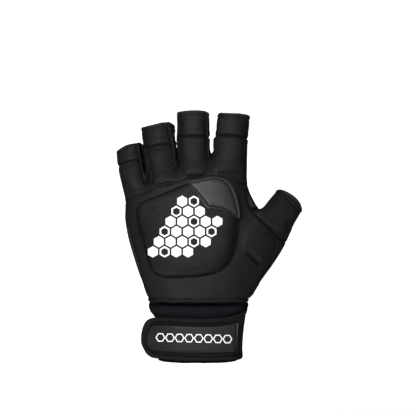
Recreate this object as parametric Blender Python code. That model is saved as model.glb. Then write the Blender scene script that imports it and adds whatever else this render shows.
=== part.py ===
"""Half-finger field hockey glove for the left hand, modelled as it sits on an open hand.

Metres, +Z up along the fingers, the back of the hand faces -Y and the thumb points to +X.
The origin is the middle of the wrist opening, where the hand goes in.
"""

import math

import bmesh
import bpy
from mathutils import Matrix, Vector
from mathutils.bvhtree import BVHTree

# Driving sizes
FABRIC = 0.0024
GAP = 0.0003
SEAM_GAP = 0.0006
HAND_WIDTH = 0.092
HAND_DEPTH = 0.038
HAND_LENGTH = 0.0935
CUFF_HEIGHT = 0.0428
CUFF_WIDTH = 0.0620
CUFF_DEPTH = 0.0390
CUFF_SQUARENESS = 2.3
WELT_HEIGHT = 0.0030
WELT_THICKNESS = 0.0034
PAD_WIDTH = 0.0761
PAD_HEIGHT = 0.0741
PAD_THICKNESS = 0.0042
PATCH_THICKNESS = 0.0009
STRAP_THICKNESS = 0.0022
STRAP_CLEARANCE = 0.0004
STRAP_HEIGHT = 0.0300
STRAP_BOTTOM = 0.0032
STRAP_FLARE = 0.0078
TAB_LENGTH = 0.0211
TAB_LEAVES = -42.0
STRAP_SEWN = 168.0
BINDING_WIDTH = 0.0032
BINDING_THICKNESS = 0.0034
LABEL_THICKNESS = 0.0010
LABEL_MARGIN = 0.0024
SEAM_RIB = 0.0017

SHELL_BOTTOM = CUFF_HEIGHT + GAP + WELT_HEIGHT + GAP

# Materials as (colour, roughness)
BLACK_JERSEY = ((0.018, 0.018, 0.018), 0.85)
BLACK_BINDING = ((0.012, 0.012, 0.012), 0.8)
NAVY_NEOPRENE = ((0.013, 0.012, 0.022), 0.85)
GREY_COATED = ((0.045, 0.046, 0.047), 0.5)

# Where the finger boundaries lie between the outer edge of the little finger and the web of the thumb
BOUNDARY_SHARES = (0.0, 0.15, 0.40, 0.69, 1.0)
SEGMENTS_PER_FINGER = 3
THUMB_SEGMENTS = 3
RING_POINTS = 10

# Sections of the hand from the wrist up. The sideways places are shares of HAND_WIDTH, the heights are
# shares of HAND_LENGTH above the cuff, and thickness is a share of HAND_DEPTH. heights are at the five
# finger boundaries, and thumb_height is at the outer edge of the thumb. middle is how far the middle of
# the section lies towards the palm at the little finger, at the web and at the thumb, in shares of HAND_DEPTH.
HAND_SECTIONS = (
    {"left": -0.402, "web": 0.235, "right": 0.409, "heights": (0.0, 0.0, 0.0, 0.0, 0.0),
     "thumb_height": 0.0, "thickness": 1.12, "middle": (0.00, 0.00, 0.00)},
    {"left": -0.458, "web": 0.290, "right": 0.512, "heights": (0.15, 0.15, 0.15, 0.15, 0.15),
     "thumb_height": 0.145, "thickness": 1.08, "middle": (0.02, 0.00, 0.06)},
    {"left": -0.545, "web": 0.360, "right": 0.650, "heights": (0.38, 0.385, 0.39, 0.40, 0.42),
     "thumb_height": 0.325, "thickness": 1.02, "middle": (0.06, 0.01, 0.15)},
    {"left": -0.604, "web": 0.428, "right": 0.742, "heights": (0.61, 0.625, 0.66, 0.70, 0.727),
     "thumb_height": 0.462, "thickness": 0.98, "middle": (0.10, 0.03, 0.26)},
)
KNUCKLE_SECTIONS = (
    {"left": -0.602, "right": 0.455, "heights": (0.695, 0.755, 0.825, 0.855, 0.805),
     "thickness": 0.96, "middle": (0.11, 0.05)},
    {"left": -0.595, "right": 0.407, "heights": (0.766, 0.858, 0.943, 1.008, 0.900),
     "thickness": 0.93, "middle": (0.12, 0.04)},
)
WEB_OUT = 0.082
WEB_RISE = 0.012
SECTION_SQUARENESS = 2.5
EDGE_INSET = 0.022

# The bottoms of the three gaps between the fingers, little finger first: sideways in shares of HAND_WIDTH,
# heights at the back and at the palm in shares of HAND_LENGTH above the cuff.
FINGER_GAPS = (
    {"place": -0.420, "back_height": 0.900, "palm_height": 1.060, "back_depth": 0.10, "palm_depth": 0.44},
    {"place": -0.172, "back_height": 1.018, "palm_height": 1.160, "back_depth": 0.16, "palm_depth": 0.38},
    {"place": 0.112, "back_height": 1.090, "palm_height": 1.195, "back_depth": 0.18, "palm_depth": 0.36},
)

# Fingers, little finger first. place, height and depth give the point on the axis at the gap, in shares of
# HAND_WIDTH, of HAND_LENGTH above the cuff and of HAND_DEPTH. width and thickness are the outer size of the
# tube, and crease and mouth are distances along the axis.
# lean tips the finger sideways, curl tips it towards the palm and roll turns its back, in degrees.
FINGERS = (
    {"name": "little", "place": -0.5261, "height": 0.9551, "depth": 0.1579, "width": 0.0200,
     "thickness": 0.0200, "crease": 0.0132, "mouth": 0.0263, "lean": -9.0, "curl": 20.0, "roll": -26.0},
    {"name": "ring", "place": -0.2935, "height": 1.0139, "depth": 0.0658, "width": 0.0234,
     "thickness": 0.0222, "crease": 0.0205, "mouth": 0.0372, "lean": -6.5, "curl": 14.0, "roll": -22.0},
    {"name": "middle", "place": -0.0348, "height": 1.0941, "depth": 0.0132, "width": 0.0238,
     "thickness": 0.0226, "crease": 0.0200, "mouth": 0.0390, "lean": -0.5, "curl": 8.0, "roll": -7.0},
    {"name": "index", "place": 0.2674, "height": 1.1209, "depth": 0.0395, "width": 0.0236,
     "thickness": 0.0224, "crease": 0.0177, "mouth": 0.0352, "lean": 5.0, "curl": 8.0, "roll": 3.0},
)
THUMB = {"name": "thumb", "place": 0.5957, "height": 0.5947, "depth": 0.1842, "width": 0.0250,
         "thickness": 0.0240, "mouth": 0.0255, "lean": 40.0, "curl": 15.0, "roll": 12.0}
FINGER_SQUARENESS = 2.3
CREASE_PINCH = 0.93
BAND_FULLNESS = 1.03

# The cuff from its bottom up: height in shares of CUFF_HEIGHT, width and depth in shares of CUFF_WIDTH and CUFF_DEPTH
CUFF_SECTIONS = (
    {"height": 0.00, "width": 0.990, "depth": 1.010},
    {"height": 0.08, "width": 0.982, "depth": 1.000},
    {"height": 0.74, "width": 1.034, "depth": 1.015},
    {"height": 0.90, "width": 1.118, "depth": 1.035},
    {"height": 1.00, "width": 1.170, "depth": 1.050},
)

# The edges of the strap, from the tip of its tab round the thumb side to the palm. along is the distance from
# the tip in shares of CUFF_WIDTH, low and high are shares of STRAP_HEIGHT above STRAP_BOTTOM, and flare is how
# far the top edge rises in shares of STRAP_FLARE.
STRAP_EDGES = (
    {"along": 0.000, "low": 0.395, "high": 0.545, "flare": 0.0},
    {"along": 0.010, "low": 0.290, "high": 0.650, "flare": 0.0},
    {"along": 0.040, "low": 0.165, "high": 0.800, "flare": 0.0},
    {"along": 0.080, "low": 0.090, "high": 0.905, "flare": 0.0},
    {"along": 0.125, "low": 0.050, "high": 0.965, "flare": 0.0},
    {"along": 0.185, "low": 0.020, "high": 1.000, "flare": 0.0},
    {"along": 0.382, "low": 0.010, "high": 1.020, "flare": 0.0},
    {"along": 0.642, "low": 0.000, "high": 1.000, "flare": 0.0},
    {"along": 0.842, "low": 0.000, "high": 0.990, "flare": 0.0},
    {"along": 1.022, "low": 0.000, "high": 1.000, "flare": 0.03},
    {"along": 1.152, "low": 0.010, "high": 1.000, "flare": 0.20},
    {"along": 1.272, "low": 0.020, "high": 1.000, "flare": 0.58},
    {"along": 1.402, "low": 0.030, "high": 1.000, "flare": 0.90},
    {"along": 1.602, "low": 0.040, "high": 1.000, "flare": 1.00},
    {"along": 1.942, "low": 0.060, "high": 1.000, "flare": 0.80},
    {"along": 2.292, "low": 0.080, "high": 1.000, "flare": 0.55},
)
STRAP_ROUNDED = 0.185
STRAP_STEP = 0.0044
LABEL_ENDS = (0.055, 1.167)

# Where the middle of the pad lies on the hand, in shares of HAND_WIDTH and of HAND_LENGTH above the cuff, and
# where the patch lies on the pad and how large it is, in shares of the pad's width and height
PAD_ON_HAND = {"across": -0.0815, "up": 0.573}
PATCH_ON_PAD = {"across": 0.255, "up": 0.298, "width": 0.474, "height": 0.393}

# Outlines as (across, up) from the middle, in shares of the width and height of the piece
PAD_OUTLINE = (
    (-0.466, 0.253), (-0.500, 0.193), (-0.500, 0.082), (-0.476, -0.038), (-0.446, -0.118), (-0.407, -0.269),
    (-0.368, -0.400), (-0.309, -0.470), (-0.221, -0.500), (-0.075, -0.500), (0.121, -0.485), (0.267, -0.455),
    (0.365, -0.400), (0.424, -0.329), (0.463, -0.219), (0.482, -0.118), (0.497, 0.002), (0.500, 0.143),
    (0.478, 0.283), (0.443, 0.384), (0.394, 0.464), (0.297, 0.500), (0.170, 0.486), (0.023, 0.454),
    (-0.124, 0.399), (-0.270, 0.338), (-0.378, 0.295),
)
PATCH_OUTLINE = (
    (-0.500, 0.383), (-0.284, 0.452), (-0.079, 0.497), (0.106, 0.500), (0.260, 0.431), (0.362, 0.291),
    (0.434, 0.087), (0.475, -0.168), (0.500, -0.500), (0.352, -0.372), (0.167, -0.283), (-0.038, -0.232),
    (-0.110, -0.253), (-0.182, -0.168), (-0.284, 0.010), (-0.387, 0.202),
)
# The rings of a cushion from its edge to its middle: size in shares of the outline, height in shares of its thickness
PAD_RINGS = ((1.0, 0.42), (0.970, 0.80), (0.925, 1.0), (0.74, 1.0), (0.50, 1.0), (0.25, 1.0))
PATCH_RINGS = ((0.955, 0.8), (0.940, 1.0), (0.87, 1.0), (0.70, 1.0), (0.40, 1.0))
PAD_HUB = (0.0, 0.0)
PATCH_HUB = (0.20, 0.13)
PAD_LIFT = 0.0005
PATCH_LIFT = 0.0006

# The path of the seam round a gap between two fingers, from the mouth of the finger before the gap to the
# mouth of the one after it: end is that finger's mouth, and low is how far down the seam still lies on it.
SEAM_TURN = 64.0
SEAM_STEPS = (0.985, 0.86, 0.72, 0.58, 0.44, 0.30, 0.16)


def cage_growth(points_round):
    """How much larger a control ring is than the smooth ring that it makes."""
    return 3.0 / (2.0 + math.cos(2.0 * math.pi / points_round))


def smooth_between(values, share):
    """A value on the smooth curve through evenly spaced values, at a share of the way along it."""
    last = len(values) - 1
    at = min(max(share * last, 0.0), last - 1e-9)
    i = int(at)
    t = at - i
    before = values[max(i - 1, 0)]
    a = values[i]
    b = values[i + 1]
    after = values[min(i + 2, last)]
    slope_a = (b - before) / 2 if i > 0 else b - a
    slope_b = (after - a) / 2 if i + 2 <= last else b - a
    return (
        (2 * t**3 - 3 * t**2 + 1) * a
        + (t**3 - 2 * t**2 + t) * slope_a
        + (3 * t**2 - 2 * t**3) * b
        + (t**3 - t**2) * slope_b
    )


def superellipse_height(across, squareness):
    """Half height of a superellipse of unit size, at a place from -1 to 1 across it."""
    return max(0.0, 1.0 - min(abs(across), 1.0) ** squareness) ** (1.0 / squareness)


def superellipse_point(angle, squareness):
    """A point of a superellipse of unit size: sideways and towards the back."""
    side, back = math.sin(angle), math.cos(angle)
    power = 2.0 / squareness
    return (math.copysign(abs(side) ** power, side), math.copysign(abs(back) ** power, back))


def above_cuff(share):
    return SHELL_BOTTOM + share * HAND_LENGTH


class Section:
    """A ring round the hand: columns of points on the back and on the palm, and one point at each edge."""

    def __init__(self, back, palm, left, right):
        self.back, self.palm, self.left, self.right = back, palm, left, right

    def loop(self, first=0, last=None, left=None, right=None):
        """The closed loop through some of the columns, from the left edge over the back to the right edge."""
        last = len(self.back) - 1 if last is None else last
        columns = range(first, last + 1)
        return [
            left or self.left,
            *[self.back[i] for i in columns],
            right or self.right,
            *[self.palm[i] for i in reversed(columns)],
        ]

    def raised(self, distance):
        """The same section moved up."""
        up = Vector((0, 0, distance))
        return Section([p + up for p in self.back], [p + up for p in self.palm], self.left + up, self.right + up)


def column_shares():
    """Where each finger column lies between the outer edge of the little finger and the web."""
    shares = []
    for a, b in zip(BOUNDARY_SHARES, BOUNDARY_SHARES[1:]):
        shares += [a + (b - a) * i / SEGMENTS_PER_FINGER for i in range(SEGMENTS_PER_FINGER)]
    return shares + [1.0]


def hand_section(row):
    """One ring round the hand, with the base of the thumb where the row has one."""
    grow = cage_growth(28)
    with_thumb = "web" in row
    left, right = row["left"] * HAND_WIDTH * grow, row["right"] * HAND_WIDTH * grow
    web = row["web"] * HAND_WIDTH * grow if with_thumb else right
    half = row["thickness"] * HAND_DEPTH / 2 * grow
    back, palm = [], []
    boundary_count = len(BOUNDARY_SHARES) - 1
    for number, share in enumerate(column_shares()):
        along = number / (SEGMENTS_PER_FINGER * boundary_count)
        height = smooth_between(row["heights"], along)
        back.append([left + (web - left) * share, height])
    if with_thumb:
        for i in range(1, THUMB_SEGMENTS + 1):
            t = i / THUMB_SEGMENTS
            height = row["heights"][-1] + (row["thumb_height"] - row["heights"][-1]) * t
            back.append([web + (right - web) * t, height])
    inset = EDGE_INSET * HAND_WIDTH
    back[0][0] += inset
    back[-1][0] -= inset
    middle_points = []
    for x, height in back:
        across = 2 * (x - left) / (right - left) - 1
        rise = superellipse_height(across, SECTION_SQUARENESS) * half
        middle = smooth_between((row["middle"][0], 0.0, *row["middle"][1:]), (across + 1) / 2) * HAND_DEPTH
        middle_points.append((x, middle, above_cuff(height), rise))
    back = [Vector((x, y - rise, z)) for x, y, z, rise in middle_points]
    palm = [Vector((x, y + rise, z)) for x, y, z, rise in middle_points]
    left_point = Vector((left, row["middle"][0] * HAND_DEPTH, back[0].z))
    right_point = Vector((right, row["middle"][-1] * HAND_DEPTH, back[-1].z))
    return Section(back, palm, left_point, right_point)


def web_point(section):
    """The web between the thumb and the hand, on the last section that holds both."""
    column = SEGMENTS_PER_FINGER * len(FINGERS)
    middle = (section.back[column] + section.palm[column]) / 2
    return middle + Vector((WEB_OUT * HAND_WIDTH, 0, WEB_RISE * HAND_LENGTH))


def finger_axes(finger):
    """The start of a finger's axis, and the directions along it, sideways and towards its back."""
    lean, curl = math.radians(finger["lean"]), math.radians(finger["curl"])
    start = Vector((finger["place"] * HAND_WIDTH, finger["depth"] * HAND_DEPTH, above_cuff(finger["height"])))
    along = Vector((math.sin(lean) * math.cos(curl), math.sin(curl), math.cos(lean) * math.cos(curl)))
    side = Vector((math.cos(lean), 0, -math.sin(lean)))
    turn = Matrix.Rotation(math.radians(finger["roll"]), 3, along)
    return start, along, turn @ side, turn @ -along.cross(side)


def finger_ring(finger, distance, fullness=1.0, palm_lead=0.0):
    """A ring of a finger tube. palm_lead moves its palm side on along the finger and its back side back."""
    start, along, side, back = finger_axes(finger)
    grow = cage_growth(RING_POINTS) * fullness
    points = []
    for i in range(RING_POINTS):
        angle = math.radians(-90 + 360 / RING_POINTS * i)
        across, rise = superellipse_point(angle, FINGER_SQUARENESS)
        points.append(
            start
            + along * (distance - palm_lead * rise)
            + side * (across * finger["width"] / 2 * grow)
            + back * (rise * finger["thickness"] / 2 * grow)
        )
    return points


def gap_points():
    """The back, middle and palm points at the bottom of each gap between two fingers."""
    points = []
    for gap in FINGER_GAPS:
        x = gap["place"] * HAND_WIDTH
        back = Vector((x, -gap["back_depth"] * HAND_DEPTH, above_cuff(gap["back_height"])))
        palm = Vector((x, gap["palm_depth"] * HAND_DEPTH, above_cuff(gap["palm_height"])))
        middle = (back + palm) / 2
        middle.z += 0.010 * HAND_LENGTH
        points.append((back, middle, palm))
    return points


def root_section(below):
    """The ring where the hand divides into fingers. Its columns at the gaps lie at the bottoms of the gaps."""
    gaps = gap_points()
    back, palm, middles = [], [], []
    for number, finger in enumerate(FINGERS):
        ring = finger_ring(finger, 0.0)
        back_points, palm_points = ring[1:5], ring[6:10][::-1]
        for i in range(SEGMENTS_PER_FINGER + 1):
            if i == 0 and number > 0:
                continue
            if i == SEGMENTS_PER_FINGER and number < len(FINGERS) - 1:
                back_gap, middle_gap, palm_gap = gaps[number]
                back.append(back_gap)
                palm.append(palm_gap)
                middles.append(middle_gap)
            else:
                back.append(back_points[i])
                palm.append(palm_points[i])
    left = finger_ring(FINGERS[0], 0.0)[0]
    right = finger_ring(FINGERS[-1], 0.0)[5]
    return Section(back, palm, left, right), [left, *middles, right]


def new_object(name, mesh, finish):
    """A named object with a material of its own."""
    colour, roughness = finish
    made = bpy.data.objects.new(name, mesh)
    bpy.context.scene.collection.objects.link(made)
    material = bpy.data.materials.new(name)
    material.use_nodes = True
    shader = material.node_tree.nodes["Principled BSDF"]
    shader.inputs["Base Color"].default_value = (*colour, 1)
    shader.inputs["Roughness"].default_value = roughness
    shader.inputs["Metallic"].default_value = 0.0
    made.data.materials.append(material)
    return made


class Cage:
    """A coarse control mesh of four-sided faces. Each face belongs to one named piece of the glove."""

    def __init__(self):
        self.faces = []
        self.pieces = []

    def add_rings(self, piece, loops):
        """Faces between closed loops that follow each other and have as many points each."""
        for lower, upper in zip(loops, loops[1:]):
            for i in range(len(lower)):
                j = (i + 1) % len(lower)
                self.faces.append((piece, (lower[i], lower[j], upper[j], upper[i])))
        if piece not in self.pieces:
            self.pieces.append(piece)

    def smoothed(self):
        """The smooth surface of the cage as a bmesh, with the piece as the material index of a face."""
        builder = bmesh.new()
        for piece, corners in self.faces:
            face = builder.faces.new([builder.verts.new(p) for p in corners])
            face.material_index = self.pieces.index(piece)
        bmesh.ops.remove_doubles(builder, verts=builder.verts, dist=1e-6)
        bmesh.ops.recalc_face_normals(builder, faces=builder.faces)
        mesh = bpy.data.meshes.new("cage")
        builder.to_mesh(mesh)
        for _ in self.pieces:
            mesh.materials.append(None)
        cage = bpy.data.objects.new("cage", mesh)
        bpy.context.scene.collection.objects.link(cage)
        rounding = cage.modifiers.new("round", "SUBSURF")
        rounding.levels = 1
        rounding.render_levels = 1
        rounded = cage.evaluated_get(bpy.context.evaluated_depsgraph_get())
        builder.clear()
        builder.from_mesh(rounded.to_mesh())
        bpy.data.objects.remove(cage)
        builder.normal_update()
        builder.verts.index_update()
        return builder


def seam_moves(verts, edges):
    """How far each open edge point of a piece is drawn back into the piece, to leave a gap at its seams."""
    moves = {}
    for vert in verts:
        rim = [e for e in vert.link_edges if len([f for f in e.link_faces if f in edges]) == 1]
        if not rim:
            continue
        inner = [e.other_vert(vert).co for e in vert.link_edges if e not in rim and any(f in edges for f in e.link_faces)]
        ends = [e.other_vert(vert).co for e in rim]
        along = (ends[-1] - ends[0]).normalized()
        inwards = sum((p - vert.co for p in inner), Vector()) if inner else sum((p - vert.co for p in ends), Vector())
        inwards -= along * inwards.dot(along)
        moves[vert] = inwards.normalized() * SEAM_GAP / 2
    return moves


def wall_piece(surface, piece_number, name, finish, thickness=FABRIC):
    """A solid wall under the faces of one piece of the smooth surface."""
    faces = {f for f in surface.faces if f.material_index == piece_number}
    verts = sorted({v for f in faces for v in f.verts}, key=lambda v: v.index)
    moves = seam_moves(verts, faces)
    places = {v: i for i, v in enumerate(verts)}
    outer = [v.co + moves.get(v, Vector()) for v in verts]
    inner = [p - v.normal * thickness * min(v.calc_shell_factor(), 1.3) for v, p in zip(verts, outer)]
    count = len(verts)
    polygons = []
    for face in sorted(faces, key=lambda f: f.index):
        corners = [places[v] for v in face.verts]
        polygons.append(corners)
        polygons.append([c + count for c in reversed(corners)])
        for edge_loop in face.loops:
            if len([f for f in edge_loop.edge.link_faces if f in faces]) == 1:
                a, b = places[edge_loop.vert], places[edge_loop.link_loop_next.vert]
                polygons.append([b, a, a + count, b + count])
    mesh = bpy.data.meshes.new(name)
    mesh.from_pydata(outer + inner, [], polygons)
    mesh.shade_smooth()
    return new_object(name, mesh, finish)


def hand_loops(sections, knuckles):
    """The loops round the hand below the thumb seam, and from there up to the knuckle seam."""
    column = SEGMENTS_PER_FINGER * len(FINGERS)
    web = web_point(sections[-1])
    upper = [sections[-1].loop(0, column, right=web)] + [k.loop() for k in knuckles]
    return [s.loop() for s in sections], upper


def finger_loops(root, middles, number):
    """The loops of one finger tube, from the bottoms of the gaps up to its crease."""
    finger = FINGERS[number]
    first = number * SEGMENTS_PER_FINGER
    crease = finger["crease"]
    return [
        root.loop(first, first + SEGMENTS_PER_FINGER, middles[number], middles[number + 1]),
        finger_ring(finger, 0.60 * crease, 1.01, 0.05 * crease),
        finger_ring(finger, crease, CREASE_PINCH),
    ]


def band_loops(finger):
    """The loops of the padded end of one finger tube, from its crease to its mouth."""
    crease, length = finger["crease"], finger["mouth"] - finger["crease"]
    return [
        finger_ring(finger, crease, CREASE_PINCH),
        finger_ring(finger, crease + 0.40 * length, BAND_FULLNESS),
        finger_ring(finger, finger["mouth"], 1.0),
    ]


def thumb_loops(split):
    """The loops of the thumb tube, from the thumb seam to its mouth."""
    column = SEGMENTS_PER_FINGER * len(FINGERS)
    return [
        split.loop(column, None, left=web_point(split)),
        finger_ring(THUMB, 0.32 * THUMB["mouth"], 1.10),
        finger_ring(THUMB, 0.70 * THUMB["mouth"], 1.03),
        finger_ring(THUMB, THUMB["mouth"], 0.98),
    ]


def glove_cage():
    """The control mesh of the whole fabric shell above the wrist."""
    cage = Cage()
    sections = [hand_section(row) for row in HAND_SECTIONS]
    knuckles = [hand_section(row) for row in KNUCKLE_SECTIONS]
    lower, upper = hand_loops(sections, knuckles)
    cage.add_rings("hand_shell", lower)
    cage.add_rings("hand_shell", upper)
    root, middles = root_section(knuckles[-1])
    cage.add_rings("finger_section", [knuckles[-1].loop(), root.loop()])
    for number, finger in enumerate(FINGERS):
        cage.add_rings("finger_section", finger_loops(root, middles, number))
        cage.add_rings(finger["name"] + "_finger_band", band_loops(finger))
    cage.add_rings("thumb_stall", thumb_loops(sections[-1]))
    return cage


def solid_of_rings(name, rings, finish, round_path=False, round_ring=True):
    """A solid through rings of as many points each. It ends in flat caps, or joins up when round_path is set."""
    count = len(rings[0])
    points = [p for ring in rings for p in ring]
    polygons = []
    for i in range(len(rings) if round_path else len(rings) - 1):
        here, there = i * count, (i + 1) % len(rings) * count
        for j in range(count if round_ring else count - 1):
            k = (j + 1) % count
            polygons.append([here + j, here + k, there + k, there + j])
    if not round_path:
        polygons.append(list(range(count))[::-1])
        polygons.append([(len(rings) - 1) * count + j for j in range(count)])
    return finished_solid(name, points, polygons, finish)


def finished_solid(name, points, polygons, finish):
    """An object from points and faces, with its faces turned outwards."""
    builder = bmesh.new()
    verts = [builder.verts.new(p) for p in points]
    for corners in polygons:
        builder.faces.new([verts[i] for i in corners])
    bmesh.ops.recalc_face_normals(builder, faces=builder.faces)
    mesh = bpy.data.meshes.new(name)
    builder.to_mesh(mesh)
    builder.free()
    mesh.shade_smooth()
    return new_object(name, mesh, finish)


def table_value(table, column, key, at):
    """A value from a table, straight between its rows."""
    for lower, upper in zip(table, table[1:]):
        if at <= upper[column]:
            t = (at - lower[column]) / (upper[column] - lower[column])
            return lower[key] + (upper[key] - lower[key]) * max(t, 0.0)
    return table[-1][key]


def cuff_point(degrees, height):
    """A place on the outside of the cuff and the way out from it. 0 degrees is the back, 90 is the thumb side."""
    share = height / CUFF_HEIGHT
    half_width = CUFF_WIDTH / 2 * table_value(CUFF_SECTIONS, "height", "width", share)
    half_depth = CUFF_DEPTH / 2 * table_value(CUFF_SECTIONS, "height", "depth", share)
    angle = math.radians(degrees)

    def on_section(a):
        across, rise = superellipse_point(a, CUFF_SQUARENESS)
        return Vector((across * half_width, -rise * half_depth, height))

    along = (on_section(angle + 0.01) - on_section(angle - 0.01)).normalized()
    return on_section(angle), Vector((along.y, -along.x, 0)), along


def make_wrist_band():
    """The cuff: a tube that is open at both ends."""
    rings = []
    segments = 36
    for way in (0, 1):
        rows = CUFF_SECTIONS if way == 0 else CUFF_SECTIONS[::-1]
        for row in rows:
            ring = []
            for i in range(segments):
                place, out, _ = cuff_point(360 * (i + 0.5) / segments, row["height"] * CUFF_HEIGHT)
                ring.append(place - out * FABRIC * way)
            rings.append(ring)
    return solid_of_rings("wrist_band", rings, NAVY_NEOPRENE, round_path=True)


def make_wrist_welt(surface):
    """The rolled hem between the cuff and the hand."""
    rim = [v for v in surface.verts if v.is_boundary and v.co.z < SHELL_BOTTOM + 0.001]
    rim.sort(key=lambda v: math.atan2(v.co.x / HAND_WIDTH, -v.co.y / HAND_DEPTH))
    height = CUFF_HEIGHT + GAP + WELT_HEIGHT / 2
    rings = []
    for number, vert in enumerate(rim):
        along = rim[(number + 1) % len(rim)].co - rim[number - 1].co
        out = Vector((along.y, -along.x, 0)).normalized()
        centre = Vector((vert.co.x, vert.co.y, height)) + out * (0.0008 - WELT_THICKNESS / 2)
        ring = []
        for i in range(6):
            angle = 2 * math.pi * (i + 0.5) / 6
            across, up = superellipse_point(angle, 2.6)
            ring.append(centre + out * (across * WELT_THICKNESS / 2) + Vector((0, 0, up * WELT_HEIGHT / 2)))
        rings.append(ring)
    return solid_of_rings("wrist_welt", rings, BLACK_JERSEY, round_path=True)


class StrapPath:
    """Where the strap runs: straight along its tab, then round the cuff."""

    def __init__(self):
        self.stations = []
        distance = TAB_LENGTH
        middle = STRAP_BOTTOM + STRAP_HEIGHT / 2
        before = None
        degrees = TAB_LEAVES
        while degrees <= STRAP_SEWN:
            place, _, _ = cuff_point(degrees, middle)
            if before is not None:
                distance += (place - before).length
            self.stations.append((distance, degrees))
            before = place
            degrees += 2.0

    @property
    def length(self):
        return self.stations[-1][0]

    def place(self, distance, height, outwards):
        """A point at a distance from the tip of the tab, at a height, and that far out from the cuff."""
        if distance < TAB_LENGTH:
            start, out, along = cuff_point(TAB_LEAVES, height)
            return start + along * (distance - TAB_LENGTH) + out * outwards
        for (d0, a0), (d1, a1) in zip(self.stations, self.stations[1:]):
            if distance <= d1 + 1e-9:
                start, out, _ = cuff_point(a0 + (a1 - a0) * (distance - d0) / (d1 - d0), height)
                return start + out * outwards
        start, out, _ = cuff_point(self.stations[-1][1], height)
        return start + out * outwards


def strap_edge_rows(length):
    """The low and high edge of the strap in even steps past its rounded tab, as (distance, low, high)."""
    stops = [row["along"] * CUFF_WIDTH for row in STRAP_EDGES if row["along"] < STRAP_ROUNDED]
    steps = math.ceil((length - STRAP_ROUNDED * CUFF_WIDTH) / STRAP_STEP)
    start = STRAP_ROUNDED * CUFF_WIDTH
    stops += [start + (length - start) * i / steps for i in range(steps + 1)]
    rows = []
    for distance in stops:
        low, high, flare = (
            table_value(STRAP_EDGES, "along", key, distance / CUFF_WIDTH) for key in ("low", "high", "flare")
        )
        low = STRAP_BOTTOM + low * STRAP_HEIGHT
        rows.append([distance, low, STRAP_BOTTOM + high * STRAP_HEIGHT + flare * STRAP_FLARE])
    for _ in range(4):
        for i in range(8, len(rows) - 1):
            rows[i][2] = rows[i][2] / 2 + (rows[i - 1][2] + rows[i + 1][2]) / 4
    return rows


def strap_outline(path):
    """The outline of the strap in the plane of the strap, along the top, round the tab and along the bottom."""
    rows = strap_edge_rows(path.length)
    top = [Vector((d, high)) for d, _, high in rows]
    bottom = [Vector((d, low)) for d, low, _ in rows]
    return top[::-1] + bottom


def inset_path(points, distance):
    """An open path moved sideways by a distance, to the left of the way it runs."""
    moved = []
    for number, point in enumerate(points):
        before = points[max(number - 1, 0)]
        after = points[min(number + 1, len(points) - 1)]
        along = (after - before).normalized()
        moved.append(point + Vector((-along.y, along.x)) * distance)
    return moved


def sheet_between(name, top, bottom, place, base, thickness, finish, rows=2):
    """A bent sheet between two edges, with its inside at one distance from the cuff."""
    rings = []
    for high, low in zip(top, bottom):
        spots = [low.lerp(high, j / rows) for j in range(rows + 1)]
        outside = [place(s.x, s.y, base + thickness) for s in spots]
        inside = [place(s.x, s.y, base) for s in reversed(spots)]
        rings.append(outside + inside)
    return solid_of_rings(name, rings, finish)


def make_strap():
    """The closing strap with its rounded tab, the binding along its edges and the coated label."""
    path = StrapPath()
    outline = strap_outline(path)
    count = len(outline) // 2
    base = STRAP_CLEARANCE + (BINDING_THICKNESS - STRAP_THICKNESS) / 2
    body = inset_path(outline, BINDING_WIDTH + GAP)
    sheet_between("strap", body[:count], body[count:][::-1], path.place, base, STRAP_THICKNESS, BLACK_JERSEY)
    label = inset_path(outline, BINDING_WIDTH + LABEL_MARGIN)
    first, last = (share * CUFF_WIDTH for share in LABEL_ENDS)
    top, bottom = [], []
    for high, low in zip(label[:count][::-1], label[count:]):
        if first <= (high.x + low.x) / 2 < last - STRAP_STEP / 3:
            top.append(high)
            bottom.append(low)
    ends = [Vector((last, edge[-1].y)) for edge in (top, bottom)]
    top.append(ends[0])
    bottom.append(ends[1])
    sheet_between(
        "strap_label", top, bottom, path.place, base + STRAP_THICKNESS + GAP, LABEL_THICKNESS, GREY_COATED
    )
    rings = []
    for number, point in enumerate(outline):
        before = outline[max(number - 1, 0)]
        after = outline[min(number + 1, len(outline) - 1)]
        along = (after - before).normalized()
        inwards = Vector((-along.y, along.x))
        ring = []
        for i in range(6):
            across, rise = superellipse_point(2 * math.pi * (i + 0.5) / 6, 3.0)
            spot = point + inwards * (BINDING_WIDTH / 2 * (1 + across))
            ring.append(path.place(spot.x, spot.y, STRAP_CLEARANCE + BINDING_THICKNESS / 2 * (1 + rise)))
        rings.append(ring)
    solid_of_rings("strap_binding", rings, BLACK_BINDING)


def on_piece(share, size, place):
    """A place on a piece of the back, as sideways and up, from shares of its size."""
    return Vector((place[0] + share[0] * size[0], place[1] + share[1] * size[1]))


def smooth_outline(outline, size, place, steps=2):
    """A closed outline with points added on the smooth curve through it."""
    points = [on_piece(share, size, place) for share in outline]
    count = len(points)
    curve = []
    for i in range(count):
        a, b, c, d = (points[(i + k) % count] for k in (-1, 0, 1, 2))
        for step in range(steps):
            t = step / steps
            curve.append(
                0.5 * (2 * b + (c - a) * t + (2 * a - 5 * b + 4 * c - d) * t**2 + (3 * b - a - 3 * c + d) * t**3)
            )
    return curve


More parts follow.
